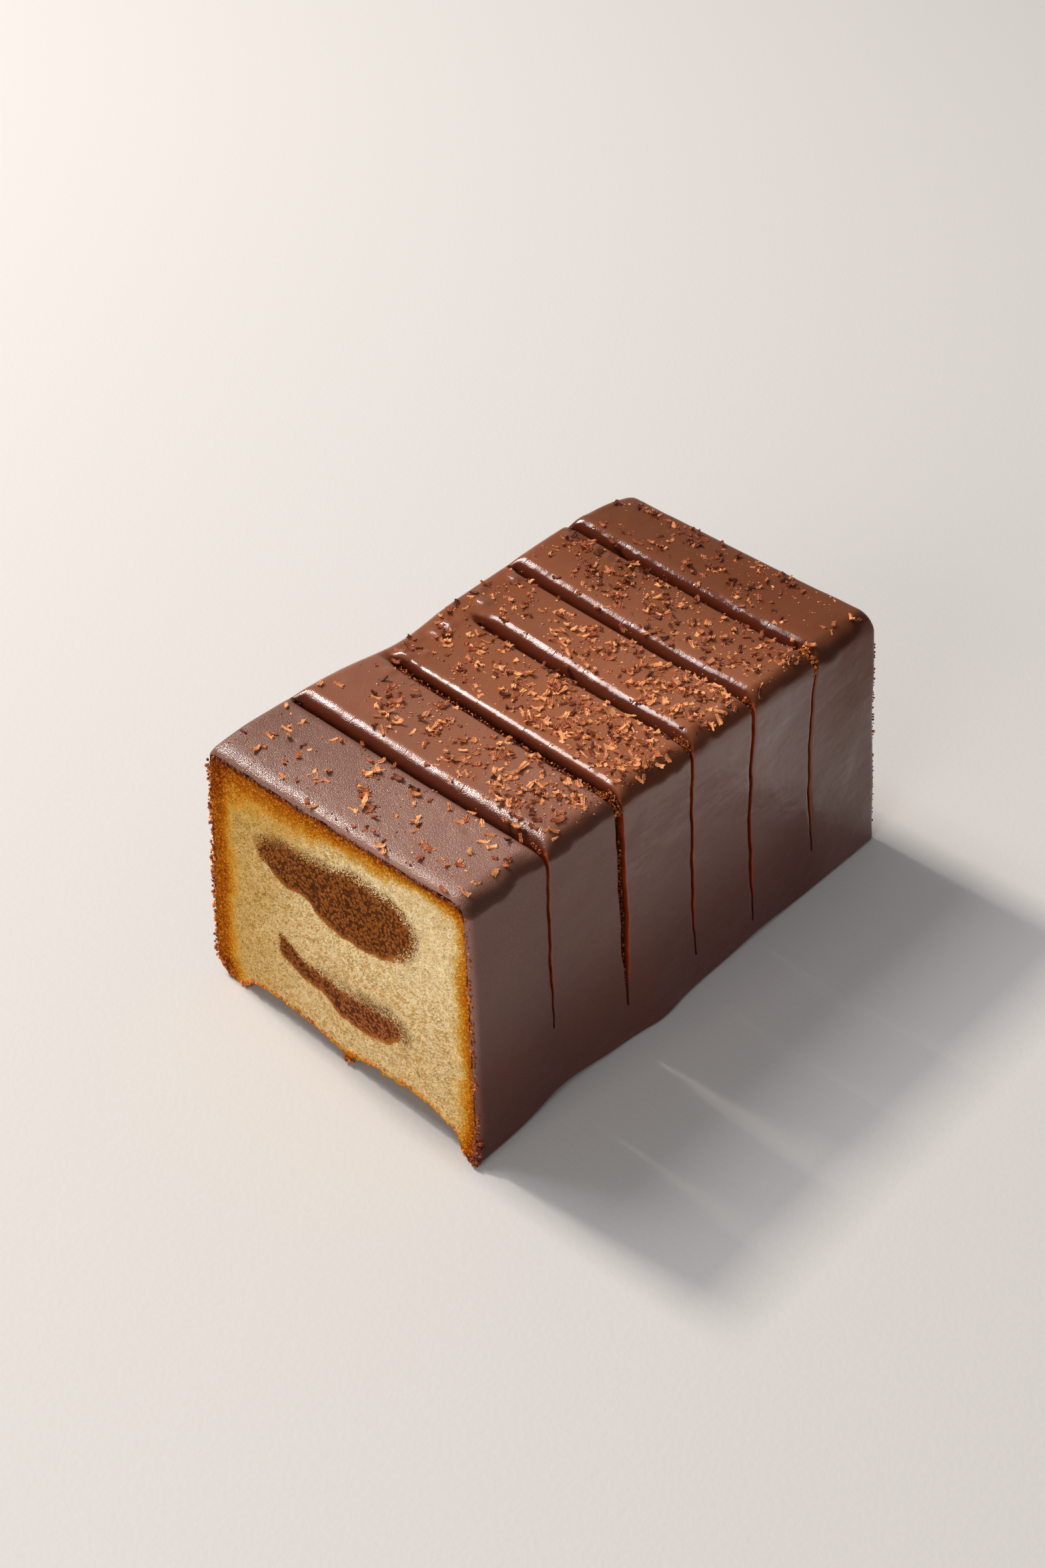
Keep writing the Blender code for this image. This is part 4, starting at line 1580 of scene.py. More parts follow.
@dataclass
class Coat:
    """The chocolate coat: one closed sheet over the top and both sides, slit by the knife."""

    line_step: float = 0.64 * MM
    end_angles: tuple = (0, 22, 45, 68, 90)
    near_angles: tuple = (90, 72, 54, 36, 18, 0)
    far_angles: tuple = (0, 13, 26, 39, 52, 65, 78, 90)
    place_counts: tuple = (20, 8, 98, 12, 44)
    top_gather: float = 1.15
    lip_under: float = 0.5 * MM
    slot_start: float = 0.035
    bead_rise: float = 0.22 * MM
    bead_back: float = 4.2 * MM
    bead_half: float = 1.25 * MM
    wet_start: Pair = mm(1.5, 2.2)
    wet_end: Pair = mm(4.6, 3.2)
    mark_rise: float = 1.1
    marks: tuple = tuple(Mark(*sizes) for sizes in (
        (-29.2, -1.7, 1.9, 0.75, 0.55), (-28.6, 1.0, 1.2, 0.6, 0.25), (-29.6, -5.2, 1.6, 0.7, 0.35),
        (-28.9, -15.2, 2.0, 0.75, 0.55), (-26.2, -11.8, 1.0, 0.7, 0.45), (-31.5, -9.0, 1.4, 0.8, 0.3),
        (-26.6, -22.3, 1.3, 0.9, 0.4), (-25.4, -15.9, 1.4, 0.6, 0.3), (-29.2, 19.4, 2.0, 0.8, 0.55),
        (-31.4, 21.4, 0.9, 0.6, 0.4), (-28.7, 8.5, 1.8, 0.75, 0.55), (-31.4, 10.9, 1.0, 0.6, 0.4),
        (-28.2, 11.3, 0.9, 0.6, 0.25), (-30.2, 38.6, 1.9, 0.8, 0.45), (-26.4, 39.9, 1.2, 0.7, -0.9),
        (-23.3, 40.3, 1.0, 0.6, 0.5), (-21.8, 39.9, 0.7, 0.6, -0.9), (-19.6, 39.4, 1.0, 0.6, 0.5),
        (-16.3, 38.3, 0.7, 0.5, 0.45), (-32.6, 42.0, 1.0, 0.8, -0.5), (-31.5, -18.5, 1.2, 0.9, -0.45),
        (31.2, 15.6, 1.1, 0.8, 0.7), (31.6, 17.4, 0.9, 0.7, -0.9), (29.5, 40.6, 2.2, 0.6, 0.4),
        (-23.2, -53.0, 0.45, 0.45, -0.35), (20.4, -48.0, 0.45, 0.45, -0.35),
    ))
    mark_gloss: Pair = mm(0.1, 0.3)
    front_bead: Pair = mm(4.4, 2.2)
    tear: float = 0.3
    tear_size: float = 1.1 * MM
    strays: tuple = ((0.16, 7 * MM, 37), (0.1, 2.6 * MM, 38))
    lip_sink: Pair = mm(0.10, 0.68)
    torn_sink: Pair = mm(0.03, 0.2)
    # How deep the painted shade towards the left is on each slice.
    left_shades: tuple[float, ...] = (0.34, 0.16, 0.32, 0.34, 0.16, 0.0)
    frosts: tuple[float, ...] = (1.0, 0.32, 0.05, 0.05, 0.05, 0.05)
    # Painted sheen: the right of the second slice is made frostier, so greyer and lighter.
    right_painted_sheens: tuple[float, ...] = (0.0, 0.35, 0.0, 0.0, 0.0, 0.0)
    finish: ChocolateFinish = field(default_factory=ChocolateFinish)

    def lines(self) -> list[Line | Between]:
        """Lays the lines across the coat.

        Returns:
            The lines, from its front edge to its rear one.
        """
        lines = [Line(Edge.FRONT, degrees) for degrees in self.end_angles]
        for slit in SLITS:
            near = [Line(Edge.NEAR_LIP, degrees, slit) for degrees in self.near_angles]
            far = [Line(Edge.FAR_LIP, degrees, slit) for degrees in self.far_angles]
            lines += lines_between(lines[-1], near[0], self.line_step) + near + far
        rear = [Line(Edge.REAR, degrees) for degrees in reversed(self.end_angles)]
        return lines + lines_between(lines[-1], rear[0], self.line_step) + rear

    def places(self) -> Array:
        """Divides the girth.

        Returns:
            The places on it at which the coat is divided.
        """
        shares = [np.arange(count) / count for count in self.place_counts]
        shares[2] = shares[2] ** self.top_gather
        return np.append(np.concatenate([piece + share for piece, share in enumerate(shares)]), 5.0)

    def sheet(self, lines: list[Line | Between], places: Array) -> BMesh:
        """Cuts the coat out of a flat sheet, with one division to a line and a place.

        Args:
            lines: The lines across the coat.
            places: The places on its girth.

        Returns:
            The sheet, from -1 to 1, with its slots cut out.
        """
        across, along = len(places) - 1, len(lines) - 1
        bm = bmesh.new()
        bmesh.ops.create_grid(bm, x_segments=across, y_segments=along, size=1)
        slots = []
        for face in bm.faces:
            centre = face.calc_center_median()
            column, row = int((centre.x + 1) / 2 * across), int((centre.y + 1) / 2 * along)
            line, behind = lines[row], lines[row + 1]
            if isinstance(line, Line) and isinstance(behind, Line) and line.edge is Edge.NEAR_LIP:
                inside = line.slit.start + self.slot_start < places[column]
                inside = inside and places[column + 1] < SHAPE.slit_end(line.slit) + 0.01
                if behind.edge is Edge.FAR_LIP and inside:
                    slots.append(face)
        bmesh.ops.delete(bm, geom=slots, context="FACES")
        bmesh.ops.solidify(bm, geom=bm.faces[:], thickness=1)
        return bm

    @staticmethod
    def relief(points: Array, place: Array) -> Array:
        """How uneven the coat's face is.

        Args:
            points: Places of the straight loaf.
            place: Their places on the girth.

        Returns:
            How proud each stands.
        """
        side = smooth_step(place, 3.6, 4.4) + smooth_step(place, 1.3, 0.7)
        left_edge = np.exp(-(((place - 2.0) / 0.16) ** 2))
        right_edge = np.exp(-(((place - 3.6) / 0.5) ** 2))
        broad = 0.09 * soft_noise(points, 17 * MM, 31) * (1 + side)
        swell = 0.045 * soft_noise(points, 6 * MM, 32) * (1 + 1.5 * side + 3.0 * left_edge + 3.5 * right_edge)
        fine = 0.014 * soft_noise(points, 2.4 * MM, 33) * (1 + 3.0 * left_edge + 1.5 * side)
        dot, draw = pore_noise(points, 9 * MM, 35)
        pits = smooth_step(dot, 0.06, 0.02) * (draw > 0.5) * smooth_step(place, 3.8, 4.0)
        return (broad + swell + fine - 0.3 * pits) * MM

    @staticmethod
    def of_slices(shares: tuple[float, ...], x: Array, y: Array, place: Array) -> Array:
        """The shares of the slices, which blend evenly where no slit parts them.

        Args:
            shares: One for each slice, from the front.
            x: Across the loaf.
            y: Along it.
            place: The place on the girth.

        Returns:
            The share at each place.
        """
        borders = [-SHAPE.length / 2, *(slit.y for slit in SLITS), SHAPE.length / 2]
        middles = [(near + far) / 2 for near, far in itertools.pairwise(borders)]
        own = np.array(shares)[SHAPE.slice_number(x, y)]
        parted = smooth_step(place, 1.3, 2.0) * smooth_step(place, 4.7, 4.4)
        return mix(np.interp(y, middles, shares), own, parted)

    def wrapped(self, lines: list[Line | Between], place: Array, row: Array,
                inner: Array) -> tuple[Array, ...]:
        """Wraps the flat sheet round the straight loaf.

        Args:
            lines: The lines across the coat.
            place: For each point of the sheet, its place on the girth.
            row: The number of its line.
            inner: Whether it is on the sheet's inner side.

        Returns:
            x, y and z of each point, how far the face sinks there, and 1 where it is a slit's lip.
        """
        depth = SHAPE.coat_depth(place)
        torn = soft_noise(stacked(place * 20 * MM, 0.0 * place, row * MM), self.tear_size, 36)
        ragged = depth * (1 + self.tear * torn)
        x, y, z, sink, beside = (np.zeros(len(place)) for _ in range(5))
        for number, line in enumerate(lines):
            chosen = row == number
            at = place[chosen]
            sink[chosen] = line.sink(at)
            sunk = sink[chosen]
            beside[chosen] = isinstance(line, Line) and line.slit is not None
            if isinstance(line, Line) and line.slit is None:
                sunk = sunk * depth[chosen] / SHAPE.coat
                under = (ragged if line.degrees == 0 else depth)[chosen]
            else:
                under = np.maximum(depth[chosen], sunk + self.lip_under)
            first = line.y(at, *SHAPE.girth(at, 0.0))
            x[chosen], z[chosen] = SHAPE.girth(at, first, np.where(inner[chosen], under, sunk))
            y[chosen] = line.y(at, x[chosen], z[chosen])
        return x, y, z, sink, beside

    def beads(self, face: Array, place: Array) -> tuple[Array, Array, Array]:
        """Lays the beads behind the slits and along the front edge, and the marks.

        Args:
            face: Places on the straight coat's face.
            place: Their places on the girth.

        Returns:
            How proud each stands, how glossy it is, and where the front edge's bead runs.
        """
        x, y, z = face.T
        bead, glossy = np.zeros(len(face)), np.zeros(len(face))
        for slit in SLITS:
            back = y - SHAPE.slit_y(slit, x, z)
            open_here = smooth_step(place, 3.7, 3.1) * SHAPE.opening(slit, place)
            bead = np.maximum(bead, np.exp(-(((back - self.bead_back) / self.bead_half) ** 2)) * open_here)
            wet = smooth_step(back, *self.wet_start) * smooth_step(back, *self.wet_end)
            glossy = np.maximum(glossy, wet * open_here)
        patchy = 0.8 + 0.4 * soft_noise(face, 4.0 * MM, 39)
        glossy = glossy * patchy * mix(1.0, 0.45, smooth_step(x, 6 * MM, 30 * MM))
        on_top = (place > 1.5) & (place < 3.5)
        front_bead = smooth_step(y + SHAPE.length / 2, *self.front_bead) * on_top
        glossy = np.maximum(glossy, front_bead * mix(0.8, 0.3, smooth_step(x, -8 * MM, 26 * MM)))
        marks = self.mark_rise * sum(mark.at(x, y) for mark in self.marks) * on_top
        glossy = np.maximum(glossy, smooth_step(marks, *self.mark_gloss))
        return marks + bead * self.bead_rise, glossy, front_bead

    def tones(self, face: Array, z: Array, place: Array) -> dict[str, Array]:
        """How the coat's colour changes over it.

        Args:
            face: Places on the straight coat's face.
            z: How high the sheet itself lies.
            place: The places on the girth.

        Returns:
            From 0 to 1: how far each place lies in painted shade; how frosted it is, with painted sheen added
                on the right of the second slice; how far on a side, which lays painted shade and sheen; and
                how low there, which lays more painted shade.
        """
        x, y, _ = face.T
        around = place + summed_noise(face, self.strays)
        # Painted shade and sheen on the sides, weaker high up at the rear; painted shade low on the sides,
        # weaker towards the rear.
        side = smooth_step(around, 3.66, 3.82) * 0.9 + smooth_step(place, 1.5, 0.9) * 0.6
        side = side * (1 - 0.5 * smooth_step(y, 38 * MM, 58 * MM) * smooth_step(z, 28 * MM, 48 * MM))
        low = side * smooth_step(z, 0.75 * SHAPE.height, 0.0)
        # Painted shade: darker towards the rear, towards the left by slice, and in a wavy band on the right
        # roundover.
        to_rear = 0.57 * smooth_step(y, 12 * MM, 58 * MM) * mix(1.0, 0.6, side)
        to_left = self.of_slices(self.left_shades, x, y, place) * smooth_step(x, 16 * MM, -33 * MM)
        roundover_shade = 0.75 * smooth_step(around, 3.0, 3.5) * smooth_step(around, 3.84, 3.68)
        # Frost on the front slice, and painted sheen on the right of the second slice.
        frosts = (self.of_slices(shares, x, y, place) for shares in (self.frosts, self.right_painted_sheens))
        return {
            "shade": 1 - (1 - to_rear) * (1 - to_left) * (1 - roundover_shade),
            "frost_and_sheen": next(frosts) + next(frosts) * smooth_step(x, 2 * MM, 28 * MM),
            "side": side,
            "low": low * mix(1.0, 0.1, smooth_step(y, 34 * MM, 58 * MM)),
        }

    def build(self) -> Object:
        """Builds and dresses the coat.

        Returns:
            The object that stands for the node glaze.
        """
        lines, places = self.lines(), self.places()
        item = mesh_object("chocolate_coat", self.sheet(lines, places), 50)
        flat = vertex_places(item.data)
        place = places[step_of(flat[:, 0], len(places))]
        inner = flat[:, 2] < -0.5
        x, y, z, sink, beside = self.wrapped(lines, place, step_of(flat[:, 1], len(lines)), inner)
        under, face = (stacked(ring[0], y, ring[1]) for ring in (
            SHAPE.girth(place, y, inset) for inset in (1.0, 0.0)
        ))
        beads, glossy, front_bead = self.beads(face, place)
        proud = (self.relief(face, place) + beads) * ~inner
        place_vertices(item.data, SHAPE.uneven(x, y, z) + (face - under) * proud[:, None])
        values = {
            # Painted shade on the slits' lips, darkest where the face sinks into the slit.
            "lip": smooth_step(sink, *self.lip_sink) * 0.92 * beside,
            "torn": np.where(place > 3.5, beside * smooth_step(sink, *self.torn_sink), 0),
            "crest": np.clip(glossy + front_bead, 0, 1),
            "bead": np.clip(glossy, 0, 1),
        }
        dress(item, self.finish.material(), values | self.tones(face, z, place))
        return item


# What is strewn on the coat and clings to the edges


Morsels = Iterator[tuple[BMesh, Matrix, float]]
SMOOTH_BELOW = 0.1


def any_turn(rng: random.Random) -> float:
    """An angle anywhere in a full turn."""
    return rng.uniform(0, 2 * math.pi)


@dataclass(frozen=True)
class Spot:
    """A place on the coat's face and the way it faces there."""

    at: Vector
    facing: Vector

    @staticmethod
    def on_coat(place: float, y: float, depth: float = 0.0) -> "Spot":
        """Finds a spot on the coat.

        Args:
            place: Its place on the girth.
            y: Its y on the straight loaf.
            depth: How deep it lies under the coat's face.

        Returns:
            The spot.
        """
        at, along = np.array([place]), np.array([y])
        rings = (SHAPE.girth(at, along, inset) for inset in (depth, depth + SHAPE.coat))
        outer, inner = (Vector(SHAPE.uneven(x, along, z)[0]) for x, z in rings)
        return Spot(outer, (outer - inner).normalized())

    def frame(self, turn: float, lean: float, rise: float) -> Matrix:
        """Lays something on the spot.

        Args:
            turn: How far it is turned on the coat, in radians.
            lean: How far it leans, in radians.
            rise: How far it is lifted.

        Returns:
            Where it lies.
        """
        upright = self.facing.to_track_quat("Z", "Y").to_matrix().to_4x4()
        lie = Matrix.Rotation(turn, 4, "Z") @ Matrix.Rotation(lean, 4, "Y")
        return Matrix.Translation(self.at + self.facing * rise) @ upright @ lie


@dataclass
class Strewing:
    """How thickly things lie on each slice: at its left end, its middle and its right end."""

    slices: tuple = (
        (0.08, 0.18, 0.16), (0.12, 0.25, 0.58), (0.26, 0.46, 1.0), (0.20, 0.40, 0.78),
        (0.20, 0.46, 0.42), (0.12, 0.34, 0.17),
    )
    stations: Triple = mm(-32, -6, 26)
    clump_count: int = 420
    clump_reach: float = 1.3 * MM
    clump_weight: float = 8
    in_slits: float = 0.02
    slit_clearance: float = 0.9 * MM
    clear_behind: float = 1.4 * MM
    end_clearance: float = 1.6 * MM
    reach: Pair = mm(-1.0, 67.0)
    top_length: float = 63.5 * MM
    corner_length: float = 7.4 * MM
    thinning: Pair = (3.75, 2.95)

    def place_at(self, distance: float) -> float:
        """The place on the girth at a distance from the top's left end."""
        past = distance - self.top_length
        return 2 + distance / self.top_length if past < 0 else 3 + past / self.corner_length

    def weight(self, place: float, y: float) -> float:
        """How thickly things lie at a place.

        Args:
            place: The place on the girth.
            y: Its y.

        Returns:
            From 0 to 1.
        """
        x, _ = (float(value) for value in SHAPE.girth(place, y))
        for slit in SLITS:
            past = y - float(SHAPE.slit_y(slit, x, SHAPE.height))
            clear = self.slit_clearance + slit.width / 2 + (self.clear_behind if past > 0 else 0)
            if abs(past) < clear and place > slit.start:
                return self.in_slits
        if SHAPE.length / 2 - abs(y) < self.end_clearance:
            return 0.0
        number = int(SHAPE.slice_number(x, y))
        thick = float(np.interp(x, self.stations, self.slices[number]))
        return thick * float(smooth_step(place, *self.thinning))

    def spots(self, count: int, rng: random.Random, clumped: float) -> list[Pair]:
        """Draws places for things to lie.

        Args:
            count: How many.
            rng: The draws.
            clumped: The share of them that lie in clumps.

        Returns:
            A place on the girth and a y for each.
        """
        centres: list[Pair] = []
        spots: list[Pair] = []
        half = SHAPE.length / 2
        while len(spots) < count:
            gathered = len(centres) >= self.clump_count and rng.random() < clumped
            if gathered:
                distance, y = (value + rng.gauss(0, self.clump_reach) for value in rng.choice(centres))
            else:
                distance, y = rng.uniform(*self.reach), rng.uniform(-half, half)
            place = self.place_at(distance)
            on_coat = abs(y) < half and self.reach[0] < distance < self.reach[1]
            weight = self.weight(place, y) if on_coat else 0.0
            if rng.random() < (min(weight * self.clump_weight, 1.0) if gathered else weight):
                if len(centres) < self.clump_count:
                    centres.append((distance, y))
                else:
                    spots.append((place, y))
        return spots


class Strewn:
    """Many small morsels of one kind, joined in one object."""

    name: str
    seed: int
    finish: MorselFinish
    sharp_degrees: float = 40.0

    def morsels(self, rng: random.Random) -> Morsels:
        """Makes the morsels one by one.

        Args:
            rng: The draws.

        Returns:
            The shape of each, where it lies and its tone from 0 to 1.
        """
        raise NotImplementedError

    def build(self) -> Object:
        """Builds and dresses the morsels.

        Returns:
            One object of them all.
        """
        joined = bmesh.new()
        scratch = bpy.data.meshes.new("morsel")
        tones: list[float] = []
        for bm, matrix, tone in self.morsels(random.Random(self.seed)):
            bmesh.ops.transform(bm, matrix=matrix, verts=bm.verts)
            tones += [tone] * len(bm.verts)
            bm.to_mesh(scratch)
            bm.free()
            joined.from_mesh(scratch)
        bpy.data.meshes.remove(scratch)
        item = mesh_object(self.name, joined, self.sharp_degrees)
        dress(item, self.finish.material(), {"tone": np.array(tones)})
        return item


@dataclass
class Shavings(Strewn):
    """Curled, ragged flakes of shaved chocolate.

    Propped and lying flakes have a least and a most rise in millimetres and a lean in radians.
    """

    name: str = "shavings"
    seed: int = 23
    count: int = 1400
    length: Pair = mm(0.6, 2.0)
    width: Pair = mm(0.55, 1.35)
    thickness: Pair = mm(0.14, 0.4)
    segments: tuple[int, int] = (5, 4)
    raggedness: float = 0.28
    clumped: float = 0.42
    small_power: float = 0.75
    narrowest: float = 0.7
    bend: Pair = (0.1, 1.3)
    twist: float = 0.8
    skew: float = 0.6
    ridge: float = 0.16
    ridge_turn: float = 9.0
    edge_stray: float = 0.16
    roughness: float = 0.03
    propped_share: float = 0.35
    propped: Triple = (0.2, 0.7, 0.6)
    lying: Triple = (0.02, 0.2, 0.2)
    # Painted shade: flakes darker towards the rear and the left.
    painted_flake_shade: Pair = (0.30, 0.12)
    tone: Pair = (0.58, 0.3)
    strewing: Strewing = field(default_factory=Strewing)
    finish: MorselFinish = SHAVED

    def flake(self, rng: random.Random) -> BMesh:
        """One flake, lying along X with its middle at 0.

        Args:
            rng: The draws for its sizes and its torn edges.

        Returns:
            The flake.
        """
        small = rng.random() ** self.small_power
        length = mix(self.length[1], self.length[0], small)
        width = rng.uniform(*self.width) * mix(1.0, self.narrowest, small)
        bend = rng.uniform(*self.bend)
        twist, skew = (rng.uniform(-most, most) for most in (self.twist, self.skew))
        ridge = rng.uniform(0.0, self.ridge) * MM
        bm = bmesh.new()
        bmesh.ops.create_grid(bm, x_segments=self.segments[0], y_segments=self.segments[1], size=0.5)
        teeth = {
            (round(vert.co.y, 3), end): rng.uniform(-self.raggedness, self.raggedness)
            for vert in bm.verts for end in (-1, 1)
        }
        for vert in bm.verts:
            along, across = vert.co.x, vert.co.y
            tooth = teeth[round(across, 3), 1 if along > 0 else -1] * abs(2 * along) ** 2
            on_side = abs(across) > 0.45
            edge = rng.uniform(-self.edge_stray, self.edge_stray) if on_side else 0.0
            tapered = across * (1 - 0.5 * (along + 0.5) * abs(twist))
            vert.co.x = (along + math.copysign(tooth, along) * (1 if along else 0)) * length
            vert.co.y = (tapered + edge + skew * along * along) * width
            rough = rng.uniform(-self.roughness, self.roughness) * MM
            vert.co.z = ridge * math.cos(across * self.ridge_turn) + rough
        bmesh.ops.solidify(bm, geom=bm.faces[:], thickness=rng.uniform(*self.thickness))
        radius = length / bend
        for vert in bm.verts:
            turn, tilt = vert.co.x / radius, twist * vert.co.x / length
            rise = radius - vert.co.z
            lifted = radius - math.cos(turn) * rise + vert.co.y * math.sin(tilt)
            vert.co = Vector((math.sin(turn) * rise, vert.co.y * math.cos(tilt), lifted))
        bmesh.ops.recalc_face_normals(bm, faces=bm.faces)
        return bm

    def morsels(self, rng: random.Random) -> Morsels:
        """Makes the flakes one by one.

        Args:
            rng: The draws.

        Returns:
            The shape of each, where it lies and its tone from 0 to 1.
        """
        for place, y in self.strewing.spots(self.count, rng, self.clumped):
            low, high, lean = self.propped if rng.random() < self.propped_share else self.lying
            rise, lean = rng.uniform(low, high) * MM, rng.uniform(-lean, lean)
            matrix = Spot.on_coat(place, y).frame(any_turn(rng), lean, rise)
            x, _ = SHAPE.girth(place, y)
            # Painted shade: flakes darker towards the rear and the left.
            rear, left = self.painted_flake_shade
            painted_flake_shade = rear * smooth_step(y, 12 * MM, 60 * MM) + left * smooth_step(x, 0.0, -33 * MM)
            yield self.flake(rng), matrix, min(max(rng.gauss(*self.tone) - float(painted_flake_shade), 0.0), 1.0)


@dataclass
class Specks(Strewn):
    """Fine bits that lie among the shavings, each a small lump."""

    name: str
    seed: int
    count: int
    unevenness: float
    clumped: float
    tone: Pair
    finish: MorselFinish
    size: Pair = mm(0.16, 0.6)
    small_power: float = 0.6
    stretch: Pair = (0.8, 1.6)
    narrowing: Pair = (0.7, 1.1)
    flatness: float = 0.5
    lean: float = 0.3
    rise: float = 0.1
    strewing: Strewing = field(default_factory=Strewing)

    def morsels(self, rng: random.Random) -> Morsels:
        """Makes the specks one by one.

        Args:
            rng: The draws.

        Returns:
            The shape of each, where it lies and its tone from 0 to 1.
        """
        for place, y in self.strewing.spots(self.count, rng, self.clumped):
            size = mix(self.size[1], self.size[0], rng.random() ** self.small_power)
            bm = lump(rng, size, self.unevenness)
            scale = (rng.uniform(*self.stretch), rng.uniform(*self.narrowing), self.flatness)
            bmesh.ops.scale(bm, vec=scale, verts=bm.verts)
            turn, lean = any_turn(rng), rng.uniform(-self.lean, self.lean)
            matrix = Spot.on_coat(place, y).frame(turn, lean, size * self.rise)
            yield bm, matrix, rng.uniform(*self.tone)


def lump(rng: random.Random, size: float, unevenness: float) -> BMesh:
    """Makes a small lump.

    Args:
        rng: The draws.
        size: Its width.
        unevenness: How much of its radius its corners stray; a smooth one has more faces.

    Returns:
        The lump, about its middle.
    """
    bm = bmesh.new()
    if unevenness > SMOOTH_BELOW:
        bmesh.ops.create_icosphere(bm, subdivisions=1, radius=size / 2)
    else:
        bmesh.ops.create_uvsphere(bm, u_segments=8, v_segments=5, radius=size / 2)
    for vert in bm.verts:
        vert.co *= 1 + rng.uniform(-unevenness, unevenness)
    return bm


@dataclass(frozen=True)
class SlitCrumbs:
    """Crumbs in a slit: its number, where along and across it in millimetres, and how many."""

    slit: int
    places: Pair
    across: Pair
    depth: Pair
    size: Pair
    tone: Pair
    count: int


@dataclass(frozen=True)
class EdgeCrumbs:
    """Crumbs along an edge of a cut: from one x and z to another in millimetres, and how many.

    Inward is across the edge and back is down the cut. Arched ones follow the loaf's underside.
    """

    start: Pair
    end: Pair
    inward: Pair
    back: Pair
    size: Pair
    tone: Pair
    count: int
    arched: bool = False
    rear: bool = False


